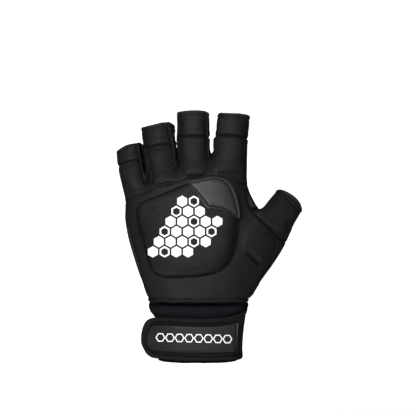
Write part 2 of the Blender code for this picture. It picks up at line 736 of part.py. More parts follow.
def lay_on_back(name, outline, hub, size, place, ground, thickness, rings, lift, finish):
    """A cushion with a closed outline, laid on the back of the glove over the surface given."""
    curve = smooth_outline(outline, size, place)
    hub = on_piece(hub, size, place)
    outlines = [([hub + (p - hub) * share for p in curve], rise) for share, rise in rings]

    def on_ground(spot, rise):
        hit, normal, _, _ = ground.ray_cast(Vector((spot.x, -5 * HAND_DEPTH, spot.y)), Vector((0, 1, 0)))
        if normal.y > 0:
            normal = -normal
        return hit + normal * rise

    points, polygons = [], []
    layers = [(outline, lift + thickness * rise) for outline, rise in outlines]
    layers = [(outline, lift) for outline, _ in outlines[::-1]] + layers
    size = len(curve)
    for outline, rise in layers:
        points += [on_ground(spot, rise) for spot in outline]
    for layer in range(len(layers) - 1):
        for i in range(size):
            j = (i + 1) % size
            a, b = layer * size, (layer + 1) * size
            polygons.append([a + i, a + j, b + j, b + i])
    for first, rise in ((0, lift), ((len(layers) - 1) * size, lift + thickness)):
        points.append(on_ground(hub, rise))
        middle = len(points) - 1
        for i in range(size):
            polygons.append([middle, first + i, first + (i + 1) % size])
    return finished_solid(name, points, polygons, finish)


def surface_tree(made):
    """The evaluated surface of an object, for finding places on it."""
    return BVHTree.FromObject(made, bpy.context.evaluated_depsgraph_get())


def cleared(point, ground, distance):
    """A point moved off the surface given until it is at least that far from it."""
    for _ in range(12):
        nearest, normal, _, away = ground.find_nearest(point)
        outside = (point - nearest).dot(normal) > 0
        if outside and away >= distance:
            break
        way = (point - nearest).normalized() if outside and away > 1e-6 else normal
        point = nearest + way * (distance + 0.00002)
    return point


def tube_along(name, points, radius, finish, sides=5):
    """A round bead along a path, with flat ends."""
    rings = []
    tangents = []
    for number in range(len(points)):
        before, after = points[max(number - 1, 0)], points[min(number + 1, len(points) - 1)]
        tangents.append((after - before).normalized())
    normal = tangents[0].orthogonal().normalized()
    for point, along in zip(points, tangents):
        normal = (normal - along * normal.dot(along)).normalized()
        side = along.cross(normal)
        rings.append(
            [
                point + radius * (math.cos(a) * normal + math.sin(a) * side)
                for a in (2 * math.pi * i / sides for i in range(sides))
            ]
        )
    return solid_of_rings(name, rings, finish)


def make_gap_seam(number, ground):
    """The raised seam that runs down one finger, round the bottom of the gap and up the next finger."""
    radius = SEAM_RIB / 2
    before, after = FINGERS[number], FINGERS[number + 1]

    def down(finger, turn):
        start, along, side, back = finger_axes(finger)
        across, rise = superellipse_point(math.radians(turn), FINGER_SQUARENESS)
        out = side * (across * finger["width"] / 2) + back * (rise * finger["thickness"] / 2)
        return [start + along * finger["mouth"] * step + out * 1.04 for step in SEAM_STEPS]

    left, right = down(before, SEAM_TURN), down(after, -SEAM_TURN)
    bottom = gap_points()[number][0] + Vector((0, -0.0012, 0.0015))
    rough = left + [left[-1].lerp(bottom, 0.55), bottom, right[-1].lerp(bottom, 0.55)] + right[::-1]
    fine = rough
    for _ in range(2):
        fine = [cleared(p, ground, radius + GAP) for p in fine]
        fine = [fine[0]] + [fine[i] * 0.6 + (fine[i - 1] + fine[i + 1]) * 0.2 for i in range(1, len(fine) - 1)] + [fine[-1]]
    fine = [cleared(p, ground, radius + GAP) for p in fine]
    name = "{}_{}_gap_seam".format(before["name"], after["name"])
    return tube_along(name, fine, radius, BLACK_BINDING)


def clear_scene():
    for old in list(bpy.data.objects):
        bpy.data.objects.remove(old)


def main():
    clear_scene()
    cage = glove_cage()
    surface = cage.smoothed()
    for number, name in enumerate(cage.pieces):
        wall_piece(surface, number, name, BLACK_JERSEY)
    ground = BVHTree.FromBMesh(surface)
    make_wrist_band()
    make_wrist_welt(surface)
    make_strap()
    pad_size = (PAD_WIDTH, PAD_HEIGHT)
    pad_place = (PAD_ON_HAND["across"] * HAND_WIDTH, above_cuff(PAD_ON_HAND["up"]))
    pad = lay_on_back(
        "knuckle_pad", PAD_OUTLINE, PAD_HUB, pad_size, pad_place, ground, PAD_THICKNESS, PAD_RINGS, PAD_LIFT, BLACK_JERSEY
    )
    patch_size = (PATCH_ON_PAD["width"] * PAD_WIDTH, PATCH_ON_PAD["height"] * PAD_HEIGHT)
    patch_place = on_piece((PATCH_ON_PAD["across"], PATCH_ON_PAD["up"]), pad_size, pad_place)
    lay_on_back(
        "corner_patch", PATCH_OUTLINE, PATCH_HUB, patch_size, patch_place, surface_tree(pad),
        PATCH_THICKNESS, PATCH_RINGS, PATCH_LIFT, GREY_COATED,
    )
    for number in range(len(FINGERS) - 1):
        make_gap_seam(number, ground)


main()
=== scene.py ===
import math
from contextlib import contextmanager

import bmesh
import bpy
import numpy as np
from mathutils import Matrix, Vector, noise
from mathutils.bvhtree import BVHTree
from mathutils.kdtree import KDTree


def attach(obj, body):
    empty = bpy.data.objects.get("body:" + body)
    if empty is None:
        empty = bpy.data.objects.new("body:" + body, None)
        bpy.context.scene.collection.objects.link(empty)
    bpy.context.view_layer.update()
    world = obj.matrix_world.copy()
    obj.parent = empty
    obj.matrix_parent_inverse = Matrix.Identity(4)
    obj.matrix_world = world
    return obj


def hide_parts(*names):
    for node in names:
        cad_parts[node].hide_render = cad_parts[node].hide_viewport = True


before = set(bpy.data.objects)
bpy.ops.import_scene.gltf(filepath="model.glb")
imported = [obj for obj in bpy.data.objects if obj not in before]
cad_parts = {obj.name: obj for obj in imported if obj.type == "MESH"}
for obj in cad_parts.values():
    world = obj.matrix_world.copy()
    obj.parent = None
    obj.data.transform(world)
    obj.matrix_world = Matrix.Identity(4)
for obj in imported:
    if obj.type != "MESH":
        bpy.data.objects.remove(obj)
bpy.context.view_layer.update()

# The camera looks at the back of the hand from the front, a little above the middle of the glove, as in the
# photograph, whose frame is 416 pixels wide and high.
HALF_FRAME, LENS, SENSOR = 208, 102.4, 36
PIXELS_PER_UNIT = HALF_FRAME / (SENSOR / 2 / LENS)
bpy.ops.object.select_all(action="DESELECT")
bpy.ops.object.camera_add(location=(0.0076, -0.9, 0.1150), rotation=(math.pi / 2, 0, 0))
camera = bpy.context.object
camera.data.lens, camera.data.sensor_width = LENS, SENSOR
camera.data.clip_start = 0.01
bpy.context.scene.camera = camera
bpy.context.scene.view_settings.view_transform = "Standard"


def pixels_of(places):
    """Where places lie in the photograph, in its pixels."""
    offset = np.asarray(places) - np.array(camera.location)
    scale = PIXELS_PER_UNIT / offset[:, 1]
    return np.stack([HALF_FRAME + offset[:, 0] * scale, HALF_FRAME - offset[:, 2] * scale], 1)


def hit(tree, x, y):
    """Where the line of sight through a pixel meets a surface: the place and the normal, or None for each."""
    way = Vector(((x - HALF_FRAME) / PIXELS_PER_UNIT, 1, (HALF_FRAME - y) / PIXELS_PER_UNIT)).normalized()
    return tree.ray_cast(camera.location, way)[:2]


# The knit shell: black jersey over thin foam, cut as a hand piece, a finger piece, four padded finger ends and a
# thumb, and sewn together at flat seams. Copies of the pieces are welded at their seams into one fabric, and the
# seams, hems, folds and foam panels are then pressed into it.
SHELL_NODES = ["hand_shell", "finger_section", "thumb_stall", "little_finger_band", "ring_finger_band",
               "middle_finger_band", "index_finger_band"]


def select_only(*pieces):
    """Selects these pieces and nothing else, and makes the first one active."""
    bpy.ops.object.select_all(action="DESELECT")
    for piece in pieces:
        piece.select_set(True)
    bpy.context.view_layer.objects.active = pieces[0]


@contextmanager
def editing(kind=None):
    """Edit mode for the active piece. Nothing in it is left selected."""
    bpy.ops.object.mode_set(mode="EDIT")
    if kind:
        bpy.ops.mesh.select_mode(type=kind)
    yield
    bpy.ops.mesh.select_all(action="DESELECT")
    bpy.ops.object.mode_set(mode="OBJECT")


def select_faces(piece, wanted):
    """Selects the faces of a piece that are wanted, and nothing else."""
    select_only(piece)
    with editing("FACE"):
        bpy.ops.mesh.select_all(action="DESELECT")
    for face in piece.data.polygons:
        face.select = wanted(face)


def copy_of(node, name):
    """A copy of a CAD node's mesh, merged and in four-sided faces."""
    piece = bpy.data.objects.new(name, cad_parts[node].data.copy())
    bpy.context.scene.collection.objects.link(piece)
    piece.data.materials.clear()
    select_only(piece)
    with editing():
        bpy.ops.mesh.select_all(action="SELECT")
        bpy.ops.mesh.remove_doubles(threshold=0.00001)
        bpy.ops.mesh.tris_convert_to_quads(face_threshold=math.radians(60), shape_threshold=math.radians(60))
    return piece


def cut_edges(piece):
    """Marks the outside of a cloth. Gives the corners of its cut edges' narrow faces: those outside, and all."""
    cloth = bmesh.new()
    cloth.from_mesh(piece.data)
    cloth.faces.ensure_lookup_table()
    narrow = {f.index for f in cloth.faces
              if sum(1 for e in f.edges if e.is_manifold and e.calc_face_angle() > math.radians(52)) >= 2}
    side = {}
    for start in cloth.faces:
        if start.index in narrow or start.index in side:
            continue
        waiting, number = [start], len(set(side.values()))
        side[start.index] = number
        while waiting:
            for edge in waiting.pop().edges:
                for face in edge.link_faces:
                    if face.index not in narrow and face.index not in side:
                        side[face.index] = number
                        waiting.append(face)
    sizes = {}
    for number in set(side.values()):
        corners = np.array([v.co for i, n in side.items() if n == number for v in cloth.faces[i].verts])
        sizes[number] = np.ptp(corners, axis=0).sum()
    outer = max(sizes, key=sizes.get)
    layer = cloth.verts.layers.float.new("outside")
    for index, number in side.items():
        if number == outer:
            for vertex in cloth.faces[index].verts:
                vertex[layer] = 1.0
    faces = {i: [v.co.copy() for v in cloth.faces[i].verts if v[layer] > 0.5] for i in narrow}
    every = {i: [v.co.copy() for v in cloth.faces[i].verts] for i in narrow}
    cloth.to_mesh(piece.data)
    cloth.free()
    return faces, every


def apply_all(piece):
    """Applies every modifier of a piece."""
    select_only(piece)
    for modifier in list(piece.modifiers):
        bpy.ops.object.modifier_apply(modifier=modifier.name)


def smooth(piece, levels):
    """Rounds a piece with applied levels of Subdivision Surface."""
    modifier = piece.modifiers.new("smooth", "SUBSURF")
    modifier.levels = modifier.render_levels = levels
    apply_all(piece)
    bpy.ops.object.shade_smooth()


def keep_sharp(piece, amount, angle=52):
    """Creases a piece's sharp edges, so that rounding it doesn't draw its outline in."""
    select_only(piece)
    with editing("EDGE"):
        bpy.ops.mesh.select_all(action="DESELECT")
        bpy.ops.mesh.edges_select_sharp(sharpness=math.radians(angle))
        bpy.ops.transform.edge_crease(value=amount)


def cut_finer(piece, points, reach):
    """Cuts a piece's faces finer near points, where narrow seams and folds will run."""
    tree = tree_of(points)
    outer = np.ones(len(piece.data.vertices))
    if "outside" in piece.data.attributes:
        piece.data.attributes["outside"].data.foreach_get("value", outer)
    select_faces(piece, lambda face: tree.find(face.center)[2] < reach and outer[face.vertices[0]] > 0.3)
    with editing():
        bpy.ops.mesh.subdivide(number_cuts=1)


def tree_of(points):
    """A search tree over points."""
    tree = KDTree(len(points))
    for number, point in enumerate(points):
        tree.insert(point, number)
    tree.balance()
    return tree


SEWN_WITHIN = 0.0011
cloths = [copy_of(node, node + "_cloth") for node in SHELL_NODES]
edges = [cut_edges(cloth) for cloth in cloths]
seams, mouths = {}, {}
for number, cloth in enumerate(cloths):
    others = {k: tree_of([p for corners in edges[k][1].values() for p in corners])
              for k in range(len(cloths)) if k != number}
    sewn = []
    for index, corners in edges[number][1].items():
        partner = min(others, key=lambda k: max(others[k].find(p)[2] for p in corners))
        if max(others[partner].find(p)[2] for p in corners) < SEWN_WITHIN:
            sewn.append(index)
            seams.setdefault(frozenset((number, partner)), []).append(edges[number][0][index])
        else:
            mouths.setdefault(number, []).append(edges[number][0][index])
    select_faces(cloth, lambda face: face.index in edges[number][1] and face.index not in sewn)
    with editing():
        bpy.ops.transform.edge_crease(value=0.45)
    select_faces(cloth, lambda face: face.index in sewn)
    with editing():
        bpy.ops.mesh.delete(type="ONLY_FACE")
select_only(*cloths)
bpy.ops.object.join()
shell = cloths[0]
shell.name = shell.data.name = "knit_shell"
with editing("VERT"):
    bpy.ops.mesh.select_all(action="DESELECT")
    bpy.ops.mesh.select_non_manifold(extend=False, use_wire=False, use_boundary=True, use_multi_face=False,
                                     use_non_contiguous=False, use_verts=False)
    bpy.ops.mesh.remove_doubles(threshold=SEWN_WITHIN)
smooth(shell, 2)


def smooth_path(corners, step=0.35, closed=False):
    """Evenly spaced points on a smooth path through corners, in two or three dimensions."""
    corners = np.asarray(corners, float)
    if closed:
        ring = np.vstack([corners[-1], corners, corners[:2]])
    else:
        ring = np.vstack([2 * corners[0] - corners[1], corners, 2 * corners[-1] - corners[-2]])
    t = np.linspace(0, 1, 24, endpoint=False)[:, None]
    path = []
    for a, b, c, d in zip(ring, ring[1:], ring[2:], ring[3:]):
        path.append(0.5 * (2 * b + (c - a) * t + (2 * a - 5 * b + 4 * c - d) * t ** 2
                           + (3 * b - a - 3 * c + d) * t ** 3))
    path = np.vstack(path + [ring[-2][None]])
    along = np.r_[0, np.cumsum(np.linalg.norm(np.diff(path, axis=0), axis=1))]
    stations = np.linspace(0, along[-1], max(2, int(along[-1] / step) + 1))
    return np.stack([np.interp(stations, along, path[:, k]) for k in range(path.shape[1])], 1)


def ramp(values, start, run):
    """From 0 at the start to 1 a run beyond it. With a run below zero it rises towards smaller values."""
    return np.clip((values - start) / run, 0, 1)


def hump(values, middle, width):
    """1 in the middle, fading to 0 on both sides, within about twice the width."""
    return np.exp(-((values - middle) / width) ** 2)


class Surface:
    """The skin of a piece, while seams, folds and foam are pressed into it."""

    def __init__(self, piece):
        self.mesh = piece.data
        self.read()
        self.rise = np.zeros(len(self.places))
        self.dark, self.shadow, self.painted_highlight_and_pale_edge = (self.kept(name, 0.0) for name in ("painted_crevice_shade", "shadow", "painted_highlight_and_pale_edge"))
        self.outside = self.kept("outside", 1.0)

    def kept(self, name, otherwise):
        """The mesh's attribute of this name, or the same value everywhere where it has none."""
        values = np.full(len(self.places), otherwise)
        if name in self.mesh.attributes:
            self.mesh.attributes[name].data.foreach_get("value", values)
        return np.clip(values, 0, 1)

    def read(self):
        count = len(self.mesh.vertices)
        self.places, self.normals = np.empty((count, 3)), np.empty((count, 3))
        self.mesh.vertices.foreach_get("co", self.places.reshape(-1))
        self.mesh.vertex_normals.foreach_get("vector", self.normals.reshape(-1))
        self.pixels = pixels_of(self.places)
        self.tree = BVHTree.FromPolygons(self.places.tolist(), [tuple(f.vertices) for f in self.mesh.polygons])

    def seen(self, corners, step=0.35, closed=False):
        """The line on the skin that runs through these pixels of the photograph: its places and normals."""
        places, normals = [], []
        for x, y in smooth_path(corners, step, closed):
            place, normal = hit(self.tree, x, y)
            if place:
                places.append(place)
                normals.append(normal)
        return np.array(places).reshape(-1, 3), np.array(normals).reshape(-1, 3)

    def nearest(self, places):
        """The nearest places on the skin, and the normals there."""
        found = [self.tree.find_nearest(place) for place in places]
        return np.array([f[0] for f in found]), np.array([f[1] for f in found])

    def away(self, line, reach):
        """How far each point is from a line, within a reach, and where along the line it is, from 0 to 1."""
        tree = tree_of(line)
        far, along = np.full(len(self.places), 9.0), np.zeros(len(self.places))
        near = ((self.places > line.min(0) - reach) & (self.places < line.max(0) + reach)).all(1)
        for i in np.nonzero(near & (self.outside > 0.01))[0]:
            _, k, far[i] = tree.find(self.places[i])
            along[i] = k / (len(line) - 1)
        return far, along

    def press(self, line, depth, width, dark=0.0, painted_highlight_and_pale_edge=0.0, fade=6.0):
        """Presses a groove along a line, or raises a ridge where the depth is negative. The darkness paints shade along
        it, and the amount after it paints a highlight.
        """
        far, along = self.away(line, max(width * 3.5, 0.003))
        ends = np.clip(np.minimum(along, 1 - along) * fade + 0.02, 0, 1) if fade else 1.0
        shape = np.exp(-(far / width) ** 2) * self.outside * ends
        self.rise -= depth * shape
        # Painted shade: a crisp dark line in a narrow groove, and a soft painted shadow beside the line.
        if dark > 0.7 and width < 0.0012:
            self.dark = np.maximum(self.dark, np.clip(1 - far / 0.003, 0, 1) * self.outside * ends)
        self.darken(dark * 0.6 * np.exp(-(far / (width * 1.6)) ** 2) * self.outside * ends)
        # A painted highlight along a ridge.
        self.lighten(painted_highlight_and_pale_edge * shape)

    # Painted shade, kept as the shadow attribute.
    def darken(self, amount):
        self.shadow = np.maximum(self.shadow, amount)

    # A painted highlight on the jersey, and a pale cut edge on the patch and the facing.
    def lighten(self, amount):
        self.painted_highlight_and_pale_edge = np.maximum(self.painted_highlight_and_pale_edge, amount)

    def within(self, corners, soft, turn=0.25):
        """How much each point that faces the front is within a closed path of pixels, with a soft edge."""
        path = smooth_path(corners, 0.5, True)
        box = ((self.pixels > path.min(0) - 2 * soft) & (self.pixels < path.max(0) + 2 * soft)).all(1)
        mask = np.zeros(len(self.places))
        chosen = np.nonzero(box & (self.normals[:, 1] < turn) & (self.outside > 0.01))[0]
        x, y = self.pixels[chosen].T
        inside = np.zeros(len(chosen), bool)
        for (ax, ay), (bx, by) in zip(path, np.roll(path, -1, 0)):
            crosses = (ay > y) != (by > y)
            inside ^= crosses & (x < (bx - ax) * (y - ay) / (by - ay + 1e-12) + ax)
        gap = np.sqrt(((self.pixels[chosen][:, None] - path[None]) ** 2).sum(2)).min(1)
        signed = np.where(inside, gap, -gap)
        mask[chosen] = np.clip(signed / soft * 0.5 + 0.5, 0, 1)
        mask = mask * mask * (3 - 2 * mask)
        return mask * self.outside * np.clip((turn - self.normals[:, 1]) * 3, 0, 1)

    def roughen(self, size, height, seed):
        """Raises and lowers the skin a little with smooth noise of a given size."""
        shift = Vector((seed * 7.1, seed * 3.3, seed * 5.7))
        self.rise += height * np.array([noise.noise(Vector(p) / size + shift) for p in self.places.tolist()])

    def finish(self):
        """Raises the points, and keeps the painted shade of each, and its painted highlight and pale edge, as
        attributes of the mesh.
        """
        self.places += self.normals * self.rise[:, None]
        for name, values in (("painted_crevice_shade", self.dark), ("shadow", self.shadow), ("painted_highlight_and_pale_edge", self.painted_highlight_and_pale_edge)):
            attribute = self.mesh.attributes.get(name) or self.mesh.attributes.new(name, "FLOAT", "POINT")
            attribute.data.foreach_set("value", np.clip(values, 0, 1))
        self.keep_places()
        self.read()

    def keep_places(self):
        """Moves the mesh's points to their places here."""
        self.mesh.vertices.foreach_set("co", self.places.reshape(-1))
        self.mesh.update()


def edge_points(faces):
    """Close points along the outer edges of cut-edge faces."""
    points = [np.linspace(a, b, 10) for corners in faces for a, b in zip(corners, corners[1:])]
    return np.vstack(points)


def seam_between(first, second):
    return edge_points(seams[frozenset((SHELL_NODES.index(first), SHELL_NODES.index(second)))])


CRISP_FOLDS = 15
FOLDS = (  # pixels of each fold, its depth (a ridge where negative), width, darkness of its painted shade and strength of its painted highlight; the crisp ones first
    ([(245.3, 252.3), (250, 256.7), (254.5, 261.3), (259.3, 266.3)], 0.0012, 0.0006, 1.5, 0),
    ([(249.5, 247.5), (255, 253.7), (262, 261)], -0.0006, 0.0008, 0, 0.5),
    ([(266, 220.5), (272, 225.5), (279, 231)], -0.0006, 0.0008, 0, 0.5),
    ([(251, 211), (260, 219.7), (270, 229.3), (280, 239.3), (283.5, 242.6)], 0.0005, 0.0006, 1.0, 0),
    ([(268.3, 231.3), (272.5, 235.5), (275, 240.5), (275.6, 246), (274.3, 252)], 0.0010, 0.0008, 0.8, 0),
    ([(287.5, 199.5), (292.5, 204), (298.3, 210.6)], 0.0006, 0.0009, 0.6, 0),
    ([(289.5, 220), (288, 228), (284.5, 236)], 0.0008, 0.0018, 0.65, 0),
    ([(246.3, 191), (248, 198), (249.4, 204), (250.8, 208.5), (252.5, 212)], 0.0010, 0.0007, 1.0, 0),
    ([(247.3, 194.5), (249.8, 198.5), (252.6, 203)], -0.0006, 0.0005, 0, 0.8),
    ([(249.3, 199.5), (251, 203.4), (253, 206.2), (255.5, 206.8)], -0.0011, 0.0008, 0, 1.6),
    ([(251, 209), (254.3, 208.9), (258.2, 209.4)], 0.0010, 0.0007, 1.0, 0),
    ([(128, 218), (129.3, 228), (133, 245), (137, 256.5), (139.5, 265), (142.5, 277), (146, 290),
      (148.5, 299)], 0.0007, 0.0007, 0.9, 0),
    ([(272, 262.5), (262, 275.5), (255.5, 284.5), (250.5, 293), (248.8, 298)], 0.0008, 0.0007, 1.0, 0),
    ([(135.4, 143.5), (137, 149.5), (138.8, 156.4), (141, 167.7), (142.9, 179.1), (144.4, 182.4), (146.4, 183.5),
      (148.4, 182.6), (149.4, 180), (148.8, 174), (147.2, 163.3), (145.2, 150.7),
      (144.6, 143)], 0.0006, 0.0006, 0.9, 0),
    ([(166.9, 124), (168.3, 133), (170.4, 141), (172.3, 150.7), (173.9, 160.2), (175.2, 166.5), (176.4, 169.3),
      (178, 169.5), (179.3, 166)], 0.0006, 0.0006, 0.9, 0),
    ([(274, 263.5), (263.8, 277.3), (257.3, 286.3), (252.3, 294.8), (250.3, 299)], -0.0005, 0.0008, 0, 0.9),
    ([(127.2, 224), (130.6, 238), (133.8, 250), (137, 260.5), (140.3, 272), (143.6, 284),
      (147.2, 297)], -0.0004, 0.0008, 0, 0.8),
    ([(146.9, 150), (148, 157), (149.9, 168), (152.4, 184)], 0.0010, 0.0014, 0.7, 0),
    ([(148.8, 160), (150.6, 171), (152.8, 185)], 0.0003, 0.0016, 0.85, 0),
    ([(252, 258), (255.5, 261.6), (259.6, 266)], 0.0004, 0.0007, 1.5, 0),
    ([(144.6, 130), (145, 140), (145.8, 149)], 0.0002, 0.0017, 0.6, 0),
    ([(180.5, 116), (180.3, 137), (181, 152), (183, 166)], 0.0004, 0.0018, 0.55, 0),
    ([(205.8, 120), (206, 137), (206.3, 150), (206.3, 162)], 0.0006, 0.0018, 0.65, 0),
    ([(246, 122), (245, 137), (244, 150), (243.3, 166)], 0.0004, 0.0018, 0.45, 0),
    ([(186, 176.3), (195, 176.8), (205, 175)], 0.0009, 0.0013, 0.6, 0),
    ([(155, 185.8), (164, 184.6), (173, 182.3)], 0.0007, 0.0013, 0.3, 0),
    ([(217, 173), (228, 173.4), (240, 172.5)], 0.0005, 0.0013, 0.3, 0),
    ([(126, 190.3), (133, 190.5), (141, 188.5)], 0.0004, 0.0013, 0.3, 0),
)
GAP_DEPTH = 0.0016
GAPS = ([(139.3, 143.5), (142.8, 143), (144.6, 152), (146, 161), (147.2, 168), (148.2, 176), (148.6, 180.5),
         (147, 182.3), (145.2, 181), (143.8, 172), (142.4, 162), (140.8, 152)],
        [(173, 134), (176, 134), (177, 147), (178.3, 157), (178.6, 165), (177.3, 167.5), (176.4, 164), (175.6, 158),
         (174.2, 148)])
PULLS = (  # (pixel across and down, how far it moves right and down in pixels) along a line, and its reach
    ([(169, 123, 0.8, -1.2), (170.5, 128, 2.4, 0), (170.5, 135, 3.0, 0), (171, 143, 3.4, 0), (172.3, 150, 3.4, 0),
      (174, 158, 2.6, 0), (175.5, 165, 1.8, 2.0)], 3.6),
    ([(221.5, 113, -1.8, 0.5), (221.3, 124, -2.6, 0), (220.6, 136, -2.3, 0), (218.5, 144, -1.2, 0),
      (216.5, 150, 0.2, 1.0)], 3.6),
    ([(208, 137, -0.4, 0), (208.3, 145, -0.8, 0.5), (208.5, 150, -1.2, 2.0), (211.3, 156, 0, 5.2),
      (214.5, 151, 0.6, 2.0)], 2.6),
    ([(283, 191.5, 0.3, -0.3), (292, 197, 1.1, -1.0), (298, 203, 0.9, -0.7), (300.5, 208, -0.4, 0)], 3.5),
    ([(274, 196, 1.0, 0.8), (266, 202, 1.2, 1.8), (258, 205.5, 2.0, 3.2), (253, 201, 1.0, 1.0),
      (249, 195, 0.3, 0.3)], 4.0),
    ([(118, 150, 0, 0.9), (123, 148.5, 0, 0.6), (128, 149, 0, -1.5), (134, 148, 0, -3.3), (140, 147, 0, -3.6),
      (143, 146, 0, -3.4)], 3.0),
    ([(142.5, 128, -1.0, 0), (148, 126.5, 0, 0.9), (156, 124, 0, 1.0), (162, 123, 0, 0)], 3.0),
    ([(142.5, 132, -1.0, 0), (142.8, 140, -1.0, 0), (143.8, 144.5, -1.3, 0)], 3.0),
    ([(142.8, 129.3, -1.0, -1.4), (143.2, 130.5, -0.6, -0.4)], 1.5),
    ([(170, 124, -1.2, -1.3), (171, 125, 0, -0.3)], 1.6),
    ([(179.5, 114.2, -0.4, -1.6), (180, 115, -0.2, -0.6)], 1.5),
    ([(222, 113.2, -0.9, -1.2), (222, 114.5, -0.5, -0.4)], 1.5),
    ([(225, 113, 0, 0.7), (233, 112.7, 0, 0.9), (240, 113.5, 0, 0.3), (247, 115, 0.8, 0)], 3.0),
    ([(117, 153, -0.9, 0), (118, 162, -0.9, 0)], 3.5),
    ([(288, 231, 0.6, 0.4), (283, 242, 0.7, 0.4), (277, 254, 0.8, 0.5), (265, 270, 1.2, 0.8), (256, 283, 1.6, 1.0),
      (249.5, 295, 2.4, 0.9)], 5.0),
    ([(124, 205, -0.4, 0), (128, 235, -0.8, 0), (136, 262, -1.1, 0), (144, 284, -1.1, 0), (147, 294, -1.6, 0)], 5.0))
SLOT_PULLS = (([(145.5, 146.5, -2.4, 0), (146.3, 151, -2.8, 0), (146.8, 157, -2.4, 0), (147.3, 163, -2.2, 0),
                (148, 169, -0.8, 0)], 2.6),)


def pull(surface, lines, share_of_each=1.0):
    """Pulls a piece's points sideways and up near lines of handles."""
    pixels = pixels_of(surface.places)
    total, move = np.zeros(len(pixels)), np.zeros((len(pixels), 2))
    for handles, reach in lines:
        path = smooth_path(handles, 0.5)
        box = ((pixels > path[:, :2].min(0) - 2.5 * reach) & (pixels < path[:, :2].max(0) + 2.5 * reach)).all(1)
        chosen = np.nonzero(box)[0]
        gaps = ((pixels[chosen][:, None] - path[None, :, :2]) ** 2).sum(2)
        share = np.exp(-gaps.min(1) / reach ** 2)
        total[chosen] += share
        move[chosen] += share[:, None] * path[gaps.argmin(1), 2:]
    move *= (share_of_each / np.maximum(total, 1))[:, None]
    step = (surface.places[:, 1] - camera.location.y) / PIXELS_PER_UNIT
    surface.places[:, 0] += move[:, 0] * step
    surface.places[:, 2] -= move[:, 1] * step


skin = Surface(shell)
fine = [edge_points(faces) for faces in seams.values()]
fine += [edge_points(faces) for number, faces in mouths.items() if SHELL_NODES[number] != "hand_shell"]
cut_finer(shell, np.vstack(fine), 0.0027)
skin = Surface(shell)
skin.rise += 0.0003 * skin.outside
skin.roughen(0.016, 0.00035, 1)
skin.roughen(0.006, 0.00012, 2)

# Flat seams: across the knuckles, round the thumb, and where each finger end is sewn on.
skin.press(seam_between("hand_shell", "finger_section"), 0.00045, 0.0008, dark=0.0, fade=0)
skin.press(seam_between("hand_shell", "thumb_stall"), 0.00060, 0.0006, dark=0.6, fade=0)
for finger in ("little", "ring", "middle", "index"):
    crease = seam_between("finger_section", finger + "_finger_band")
    skin.press(crease, 0.0006, 0.0005, dark=0.72, fade=0)
    skin.press(crease + np.array([0, 0, 0.0030]), -0.0004, 0.0016, fade=0)
    skin.press(crease - np.array([0, 0, 0.0024]), -0.0003, 0.0014, fade=0)

# Hems: each mouth is turned in and stitched down, so a shallow channel runs below its edge.
for number, faces in mouths.items():
    rim = edge_points(faces)
    if SHELL_NODES[number] != "hand_shell":
        far, _ = skin.away(rim, 0.006)
        channel = hump(far, 0.0021, 0.00055) * skin.outside
        lip = hump(far, 0.0008, 0.0006) * skin.outside
        skin.rise += 0.00022 * lip - 0.00038 * channel
        # Painted shade in the channel, and a painted highlight on the lip above it.
        skin.darken(0.35 * channel)
        skin.lighten(0.6 * lip)

# Foam panels under the jersey on the finger backs, the thumb and the base of the thumb: each stands out in a step
# at its edge and is domed across.
for corners, height, dome in (
        ([(180, 139), (194, 138), (206, 139.5), (206.5, 152), (206, 164), (204, 174), (194, 175.3), (186, 175),
          (182.5, 164), (180.5, 152)], 0.0008, 0.0016),
        ([(148.5, 153), (160, 149.8), (171.5, 149.3), (173, 160), (175.5, 171), (175, 180.5), (163, 183.3),
          (154, 185), (152, 174), (149.5, 164)], 0.0008, 0.0014),
        ([(215.5, 139), (230, 137.5), (244.5, 140.5), (244, 152), (243, 162), (242, 170.5), (230, 171.8),
          (216, 171.6), (214, 160), (215, 150)], 0.0007, 0.0014),
        ([(121, 170), (130, 166.5), (138, 165.5), (140.5, 174), (142, 183), (137, 188), (127.5, 189.3),
          (123.5, 180)], 0.0004, 0.0010),
        ([(262, 224.5), (273, 235), (275.5, 241), (273.5, 249), (268, 256), (261, 263), (252.5, 255.5),
          (243, 247), (247, 232)], 0.0007, 0.0010),
        ([(257, 214), (266, 205), (277, 197), (284, 197.5), (295, 210), (291, 220), (284, 230), (278, 229),
          (268, 221)], 0.0006, 0.0012)):
    skin.rise += height * skin.within(corners, 1.3) + dome * skin.within(corners, 9.0)

# A few places on the fingers and the sides are pulled to the outline of the photograph. Then come folds and pleats,
# at the thumb and its web, beside the finger seams and round the foam, and the deep gaps beside the ring finger.
pull(skin, PULLS)
skin.finish()
fine = [skin.seen(fold[0])[0] for fold in FOLDS]
cut_finer(shell, np.vstack(fine + [skin.seen(corners)[0] for corners in GAPS]), 0.0022)
cut_finer(shell, np.vstack(fine[:CRISP_FOLDS]), 0.0013)
skin = Surface(shell)
# Each fold is pressed with painted shade in its groove and a painted highlight on its ridge.
for corners, depth, width, dark, painted_highlight_and_pale_edge in FOLDS:
    line, facing = skin.seen(corners)
    line = line[facing[:, 1] < -0.14]
    if len(line) > 3:
        skin.press(line, depth, width, dark, painted_highlight_and_pale_edge, fade=12.0)
# The deep gaps beside the ring finger are pressed in and painted black as shade.
for corners in GAPS:
    gap = skin.within(corners, 0.8)
    skin.rise -= GAP_DEPTH * gap
    skin.darken(gap)
skin.finish()


class Value:
    """A shader socket that Python expressions can use."""

    def __init__(self, finish, socket):
        self.finish, self.socket = finish, socket

    def __add__(self, other):
        return self.finish.maths("ADD", self, other)

    def __radd__(self, other):
        return self.finish.maths("ADD", other, self)

    def __sub__(self, other):
        return self.finish.maths("SUBTRACT", self, other)

    def __rsub__(self, other):
        return self.finish.maths("SUBTRACT", other, self)

    def __mul__(self, other):
        return self.finish.maths("MULTIPLY", self, other)

    def __rmul__(self, other):
        return self.finish.maths("MULTIPLY", other, self)


